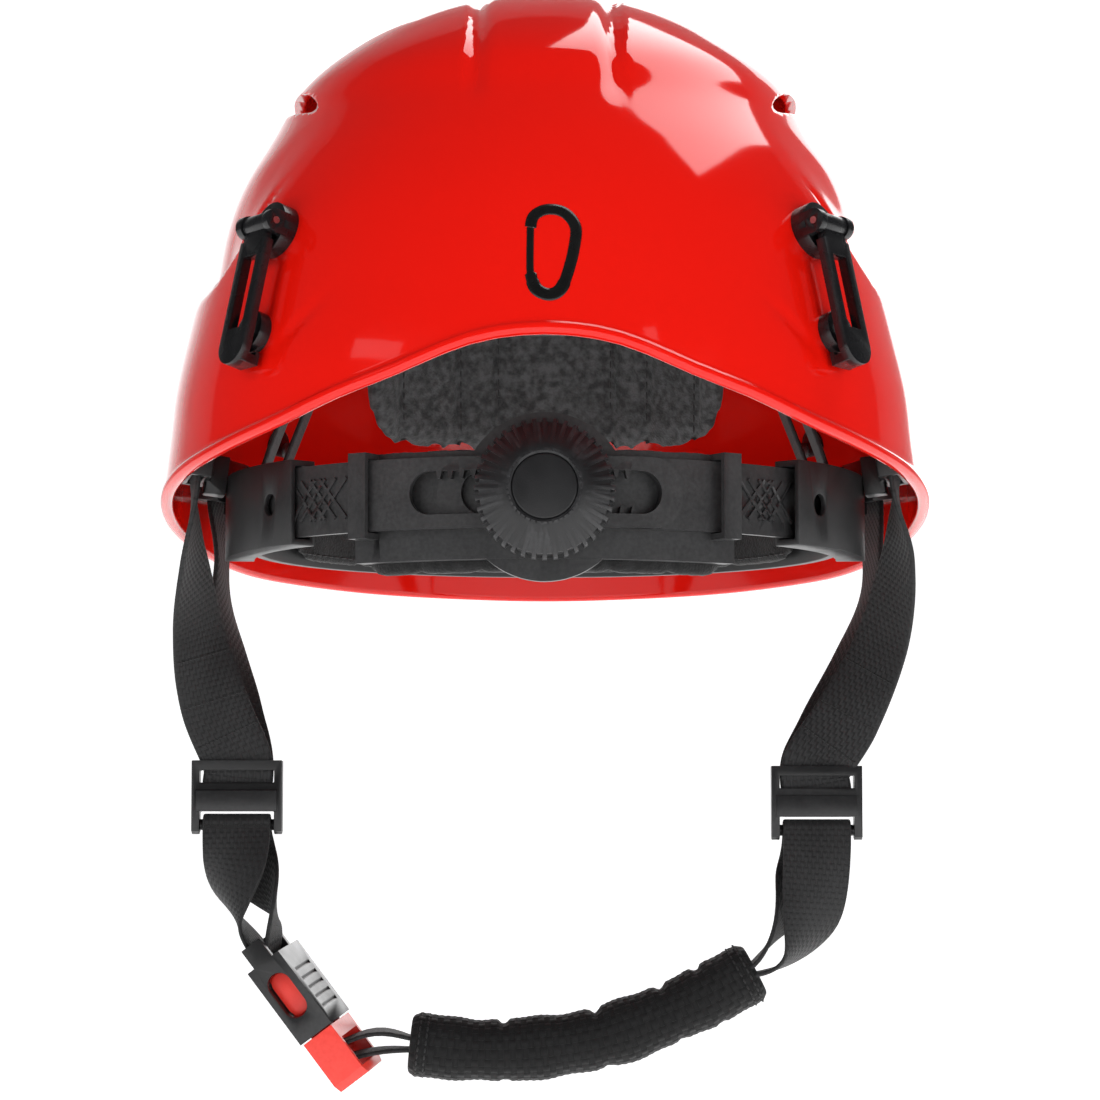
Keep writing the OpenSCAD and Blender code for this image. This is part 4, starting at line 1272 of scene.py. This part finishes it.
@dataclass
class Pads:
    """Crown, brow and nape pads and the chin sleeve.

    Attributes:
        stitch: the stitching tool.
    """

    stitch: StitchTool

    def crown(self) -> None:
        """Make the padded crown cradle with its sewn channels."""
        a, b, top, thick, cy = 70.0, 82.0, 116.0, 7.0, 0.0
        nc, nr = 120, 26

        def low(th: float) -> float:
            """Height of the pad's edge at a bearing."""
            g = min(1.0, max(0.0, (abs(math.sin(th)) - 0.3) / 0.42))
            return 80 - (54 if math.sin(th) > 0 else 40) * g * g * (3 - 2 * g)

        def at(th: float, f: float, off: float) -> Vector:
            """A point of the dome."""
            lo = math.asin((low(th) - 20) / (top - 20))
            e = lo + (math.pi / 2 - lo) * f
            return Vector(((a + off) * math.cos(th) * math.cos(e),
                cy + (b + off) * math.sin(th) * math.cos(e), 20 + (top - 20 + off) * math.sin(e)))

        pts, faces = [], []
        for s in (0, 1):
            for j in range(nr):
                for i in range(nc):
                    off = -thick * (0.55 if j == 0 else 1.0) if s else (-thick * 0.35 if j == 0 else -0.6)
                    pts.append(at(2 * math.pi * i / nc, j / nr, off + (0.6 if s else 0.0)) * MM)
        pts += [at(0, 1, -0.6) * MM, at(0, 1, -thick + 0.6) * MM]

        def vid(i: int, j: int, s: int) -> int:
            """Index of a grid point."""
            return 2 * nc * nr + s if j == nr else (s * nr + j) * nc + i % nc

        for s in (0, 1):
            for j in range(nr):
                for i in range(nc):
                    f = (vid(i, j, s), vid(i + 1, j, s), vid(i + 1, j + 1, s), vid(i, j + 1, s))
                    faces.append(f[:3] if j == nr - 1 else f)
        for i in range(nc):
            faces.append((vid(i, 0, 0), vid(i + 1, 0, 0), vid(i + 1, 0, 1), vid(i, 0, 1)))
        obj = mesh_object("crown_liner", pts, faces, CROWN)
        swell(obj, 0.0024, 1.6, 0.0012)
        seams = (-43.0, -26.0, -14.5, 20.0, 31.0, 45.0)

        def shape(p: np.ndarray, n: np.ndarray) -> np.ndarray:
            """Pull the sewn channels in."""
            dip = np.zeros(len(p))
            for s in seams:
                dip = np.maximum(dip, np.exp(-(((p[:, 0] / MM - s) / 1.7) ** 2)))
            for s in (-30.0, 30.0):
                dip = np.maximum(dip, np.exp(-(((p[:, 1] / MM - s) / 1.7) ** 2)) * (np.abs(p[:, 2]) > 0.1))
            puff = 0.5 * np.sin(p[:, 0] / MM * 0.9) * np.sin(p[:, 2] / MM * 0.35)
            return p - n * (dip * 1.7 + 0.15 * puff)[:, None] * MM

        settle(obj, shape, 2, True)
        attach(obj, Body.HELMET, "crown_fabric", "crown_pad")
        rows = []
        for s in seams:
            row = []
            for k in range(40):
                y = 10 + 68.0 * k / 39
                q = 1 - (s / (a - thick)) ** 2 - (y / (b - thick)) ** 2
                if q > 0.0:
                    z = 20 + (top - 20 - thick) * math.sqrt(q)
                    if z > low(math.atan2(y, s)) + 2:
                        row.append(Vector((s, y, z + 0.6)) * MM)
            if len(row) > 2:
                rows.append(row)
        self.stitch.sew("crown_stitches", rows, Body.HELMET, "crown_fabric", 0.0032, 0.0024, 0.0006)

    def arc_pad(self, name: str, node: str, cy: float, r0: float, r1: float, z0: float, z1: float,
            a0: float, a1: float,
                finish: Finish, slot: str) -> None:
        """A curved pad inside the band, crowned towards the head.

        Args:
            name: the piece's name.
            node: the CAD node that it replaces.
            cy: the arc's centre along Y, in mm.
            r0: inner radius.
            r1: outer radius.
            z0: its bottom.
            z1: its top.
            a0: start bearing in degrees.
            a1: end bearing.
            finish: its finish.
            slot: its material slot.
        """
        pts, faces, n, m = [], [], 90, 28
        for i in range(n + 1):
            a = math.radians(a0 + (a1 - a0) * i / n)
            e = min(1.0, min(i, n - i) / 6 + 0.25)
            for k in range(m):
                g = 2 * math.pi * k / m
                c, s = math.cos(g), math.sin(g)
                dr = math.copysign(abs(c) ** 0.7, c) * (r1 - r0) / 2 * e
                dz = math.copysign(abs(s) ** 0.45, s) * (z1 - z0) / 2 * (0.8 + 0.2 * e)
                r = (r0 + r1) / 2 + dr
                pts.append(Vector((r * math.cos(a), cy + r * math.sin(a), (z0 + z1) / 2 + dz)) * MM)
        for i in range(n):
            for k in range(m):
                faces.append((i * m + k, (i + 1) * m + k, (i + 1) * m + (k + 1) % m, i * m + (k + 1) % m))
        faces += [tuple(range(m)), tuple(n * m + k for k in range(m))[::-1]]
        obj = mesh_object(name, pts, faces, finish)
        swell(obj, 0.0016, 1.2, 0.0007)

        def shape(p: np.ndarray, q: np.ndarray) -> np.ndarray:
            """Pull in a seam along the middle and cross seams."""
            ang = np.degrees(np.arctan2(p[:, 1] - cy * MM, p[:, 0])) % 360
            dip = np.zeros(len(p))
            for k in range(1, 6):
                dip = np.maximum(dip, np.exp(-(((ang - (a0 % 360 + (a1 - a0) * k / 6)) * 1.4 / 1.5) ** 2)))
            return p - q * (dip * 0.8)[:, None] * MM

        settle(obj, shape, 2, False)
        attach(obj, Body.HELMET, slot, node)
        rows = []
        for z in (z0 + 2.4, z1 - 2.4):
            rows.append([Vector(((r0 + 0.5) * math.cos(a), cy + (r0 + 0.5) * math.sin(a), z)) * MM
                         for a in (math.radians(a0 + 3 + (a1 - a0 - 6) * k / 60) for k in range(61))])
        self.stitch.sew(name + "_stitches", rows, Body.HELMET, slot, 0.003, 0.0022, 0.0005)

    def sleeve(self) -> None:
        """Make the padded chin sleeve with pinched top edge and close cross ribs."""
        st = [(-38.5, 0, -152.6), (-20, 0, -154.4), (0, 0, -153.6), (20, 0, -149.8), (42, 0, -141),
            (60, 0, -131.6)]
        path = spline([Vector(s) for s in st], 40)
        n, m = len(path), 56
        pts, uvs, faces, run = [], [], [], 0.0
        length = sum((path[i] - path[i - 1]).length for i in range(1, n))
        pinch = (27.0, 55.0, 76.0, 88.0)
        for i in range(n):
            run += (path[i] - path[i - 1]).length if i else 0.0
            d = (path[min(i + 1, n - 1)] - path[max(i - 1, 0)]).normalized()
            up = Vector((0, 1, 0)).cross(d).normalized()
            if up.z < 0:
                up = -up
            edge = min(run, length - run)
            cap = 0.80 + 0.20 * min(1.0, edge / 2.2) ** 0.5 if edge < 2.2 else 1.0
            swellf = 1.0 + 0.03 * math.sin(run * 0.23) + 0.02 * math.sin(run * 0.51 + 1.0)
            rib = 1.0 + 0.010 * math.sin(run * 2 * math.pi / 1.9)
            tuck = sum(math.exp(-(((run - s) / 1.5) ** 2)) for s in pinch)
            for k in range(m):
                g = 2 * math.pi * k / m
                c, s = math.cos(g), math.sin(g)
                y = math.copysign(abs(c) ** 0.8, c) * 10.4 * cap * rib
                z = math.copysign(abs(s) ** 0.85, s) * 8.9 * cap * swellf * rib
                z -= (tuck * 1.6 * max(0.0, s) ** 3) + (tuck * 0.7 * max(0.0, -s) ** 3) * -1
                pts.append((path[i] + Vector((0, y, 0)) + up * z) * MM)
                uvs.append((k / m * 0.058, run * MM))
        for i in range(n - 1):
            for k in range(m):
                faces.append((i * m + k, i * m + (k + 1) % m, (i + 1) * m + (k + 1) % m, (i + 1) * m + k))
        for i, flip in ((0, True), (n - 1, False)):
            base = i * m
            ring = [base + k for k in range(m)]
            mid = len(pts)
            pts.append(path[i] * MM)
            uvs.append((0.0, 0.0))
            for k in range(m):
                faces.append((ring[(k + 1) % m], ring[k], mid) if flip
                    else (ring[k], ring[(k + 1) % m], mid))
        obj = mesh_object("chin_sleeve", pts, faces, SLEEVE, uvs)
        self.breathe(obj)
        attach(obj, Body.CHIN, "sleeve_fabric", "chin_pad")
        rows = []
        for s in (2.4, 4.6, length - 4.6, length - 2.4):
            i = min(range(n), key=lambda q: abs(sum((path[j] - path[j - 1]).length for j in range(1, q + 1))
                - s))
            d = (path[min(i + 1, n - 1)] - path[max(i - 1, 0)]).normalized()
            up = Vector((0, 1, 0)).cross(d).normalized()
            ring = []
            for k in range(41):
                g = 2 * math.pi * k / 40
                c, q = math.cos(g), math.sin(g)
                ring.append((path[i] + Vector((0, math.copysign(abs(c) ** 0.8, c) * 10.6, 0)) + up
                    * math.copysign(abs(q) ** 0.85, q) * 9.05) * MM)
            rows.append(ring)
        self.stitch.sew("chin_sleeve_stitches", rows, Body.CHIN, "sleeve_fabric", 0.002, 0.0015, 0.0005)

    @staticmethod
    def breathe(obj: bpy.types.Object) -> None:
        """Swell the sleeve a little as cloth on its own mesh, so its weave map stays."""
        start = np.array([v.co[:] for v in obj.data.vertices])
        cloth = obj.modifiers.new("cloth", "CLOTH")
        cloth.settings.use_pressure = True
        cloth.settings.uniform_pressure_force = 1.5
        cloth.settings.effector_weights.gravity = 0
        cloth.settings.tension_stiffness = 30
        cloth.point_cache.frame_end = 12
        for k in range(1, 13):
            bpy.context.scene.frame_set(k)
        bake(obj)
        bpy.context.scene.frame_set(1)
        now = np.array([v.co[:] for v in obj.data.vertices])
        if len(now) == len(start):
            move = now - start
            far = np.linalg.norm(move, axis=1, keepdims=True)
            now = start + move * np.minimum(1.0, 0.0006 / np.maximum(far, 1e-9))
            obj.data.vertices.foreach_set("co", now.ravel())
            obj.data.update()

    def cradle(self) -> None:
        """Make the two webbing arches that carry the crown pad."""
        for name, y0 in (("cradle_front", 26.0), ("cradle_rear", -26.0)):
            k = math.sqrt(1 - (y0 / 84.4) ** 2)
            arch = []
            for i in range(61):
                g = math.radians(14 + 152 * i / 60)
                arch.append(Vector((72.4 * k * math.cos(g), y0, 20 + 98.4 * k * math.sin(g))))
            path = spline([Vector((79.4, y0, 0)), Vector((79, y0, 10))] + arch[::4]
                + [Vector((-79, y0, 10)), Vector((-79.4, y0, 0))], 6)
            path = [p * MM for p in path]
            obj = Strap(width=0.018, thick=0.0012).build(name + "_web", path,
                [Vector((0, 1, 0))] * len(path), WEB_BLACK)
            attach(obj, Body.HELMET, "webbing_black", name)


# ---------------------------------------------------------------- hardware


@dataclass
class Hardware:
    """Clips, dividers, hangers, headband, dial and buckle, from the CAD solids with rounded edges."""

    def build(self) -> None:
        """Round and dress every hard node."""
        for node in frame["nodes"]:
            body = body_of(frame["nodes"][node])[0]
            if node.startswith("clip_arm") or node.startswith("clip_mount"):
                soften(node, body, "clip_black", CLIP_BLACK, 0.0007, 28)
            elif node.startswith("divider"):
                soften(node, body, "hardware_black", HARD_BLACK, 0.0008)
            elif node.startswith("hanger"):
                soften(node, body, "hardware_black", HARD_BLACK, 0.0006)
            elif node == "buckle_female":
                soften(node, body, "hardware_black", HARD_BLACK, 0.0006)
            elif node == "buckle_male":
                soften(node, body, "buckle_red", BUCKLE_RED, 0.0006)
            elif node in ("side_sleeve_left", "side_sleeve_right", "front_band", "dial_housing",
                "rack_strip_left", "rack_strip_right"):
                soften(node, body, "band_plastic", BAND_BLACK, 0.0003)
            elif node in ("dial_knob", "dial_cap"):
                soften(node, body, "dial_black", DIAL_BLACK, 0.00018)
            elif node.startswith("clip_pin") or node == "dial_axle":
                self.dress(node, PIN_STEEL)
            elif node == "dial_pinion":
                self.dress(node, DIAL_BLACK)
            LOG.info("node %s on %s", node, body)

    @staticmethod
    def dress(node: str, finish: Finish) -> None:
        """Give a CAD node's own object a finish."""
        obj = bpy.data.objects[node]
        for slot in obj.material_slots:
            slot.material = material(finish)
        if not obj.material_slots:
            obj.data.materials.append(material(finish))


# ---------------------------------------------------------------- studio


@dataclass
class Studio:
    """Camera, lights, world and floor."""

    distance: float = 1.1
    elevation: float = -5.0
    lens: float = 124.5

    def camera(self) -> None:
        """Place the camera behind the helmet, a little below its middle."""
        data = bpy.data.cameras.new("camera")
        data.lens = self.lens
        data.sensor_width = 36
        data.clip_start = 0.05
        cam = bpy.data.objects.new("camera", data)
        bpy.context.scene.collection.objects.link(cam)
        aim = Vector((0.0014, 0, -0.011))
        e = math.radians(self.elevation)
        cam.location = aim + Vector((0, -math.cos(e), math.sin(e))) * self.distance
        cam.rotation_euler = (aim - cam.location).to_track_quat("-Z", "Y").to_euler()
        bpy.context.scene.camera = cam

    @staticmethod
    def light(name: str, place: tuple, aim: tuple, size: tuple, power: float,
            seen: bool = True) -> bpy.types.Object:
        """Add a soft rectangular light.

        Args:
            name: its name.
            place: where it stands.
            aim: what it points at.
            size: its width and height.
            power: watts.
            seen: whether glossy surfaces mirror it.

        Returns:
            The light.
        """
        data = bpy.data.lights.new(name, "AREA")
        data.shape = "RECTANGLE"
        data.size, data.size_y = size
        data.energy = power
        obj = bpy.data.objects.new(name, data)
        bpy.context.scene.collection.objects.link(obj)
        obj.location = place
        obj.rotation_euler = (Vector(aim) - Vector(place)).to_track_quat("-Z", "Y").to_euler()
        obj.visible_glossy = seen
        return obj

    def lights(self) -> None:
        """Hang the softboxes and fills and set the surround."""
        key = self.light("key_over", (0.58, 0.42, 1.22), (0.58, 0.42, 0), (0.95, 1.1), 14)
        key.rotation_euler = (0, 0, math.radians(-10))
        self.light("patch_left", (-1.15, -0.75, 0.62), (0, -0.05, 0.04), (0.44, 0.15), 0.19)
        self.light("patch_right", (0.75, -1.05, 0.70), (0, -0.05, 0.04), (0.10, 0.16), 0.05)
        self.light("fill_left", (-1.3, -1.2, 0.5), (0, 0, 0), (1.0, 1.0), 14, False)
        self.light("fill_right", (1.2, -1.3, 0.3), (0, 0, 0), (1.0, 1.0), 13, False)
        self.light("fill_low", (0.0, -1.5, -0.25), (0, 0, -0.02), (1.4, 0.3), 5, False)
        self.light("fill_front", (0.3, 1.6, 0.6), (0, 0, 0), (1.2, 1.0), 8)
        world = bpy.data.worlds.new("studio")
        world.use_nodes = True
        back = world.node_tree.nodes["Background"]
        back.inputs["Color"].default_value = (1, 1, 1, 1)
        nodes, links = world.node_tree.nodes, world.node_tree.links
        seen = nodes.new("ShaderNodeMapRange")
        seen.inputs["To Min"].default_value = 0.07
        seen.inputs["To Max"].default_value = 0.95
        links.new(nodes.new("ShaderNodeLightPath").outputs["Is Camera Ray"], seen.inputs["Value"])
        links.new(seen.outputs[0], back.inputs["Strength"])
        bpy.context.scene.world = world
        bpy.context.scene.view_settings.view_transform = "Standard"

    def floor(self) -> None:
        """Lay a pale floor that sweeps up into a wall in front of the helmet."""
        side, low, back, r = 4.0, -0.32, 3.2, 1.4
        prof = [(-3.5, low), (0.0, low), (back - r, low)]
        prof += [(back - r + r * math.sin(a), low + r - r * math.cos(a))
            for a in (math.radians(6 * k) for k in range(1, 16))]
        prof.append((back, 4.5))
        pts, faces = [], []
        for y, z in prof:
            pts += [(-side, y, z), (side, y, z)]
        for k in range(len(prof) - 1):
            faces.append((2 * k, 2 * k + 1, 2 * k + 3, 2 * k + 2))
        mesh_object("floor", pts, faces, FLOOR, fix=False)


def main() -> None:
    """Build the helmet piece by piece."""
    logging.basicConfig(level=logging.INFO, format="%(name)s: %(message)s")
    studio = Studio()
    studio.camera()
    studio.lights()
    studio.floor()
    shell = Shell()
    skin = shell.build()
    shell.print_badge(skin)
    LOG.info("shell built")
    Hardware().build()
    stitch = StitchTool()
    harness = Harness(stitch)
    harness.upper(shell)
    harness.lower()
    LOG.info("harness built")
    pads = Pads(stitch)
    pads.cradle()
    pads.crown()
    pads.arc_pad("brow_cushion", "brow_pad", 8.0, 77.6, 82.4, -11.0, 19.0, 22.0, 158.0, PAD, "pad_fabric")
    pads.arc_pad("nape_cushion", "nape_pad", -10.0, 74.2, 80.2, -25.0, 9.0, 232.0, 308.0, PAD, "pad_fabric")
    pads.sleeve()
    LOG.info("pads built")


if __name__ == "__main__":
    main()
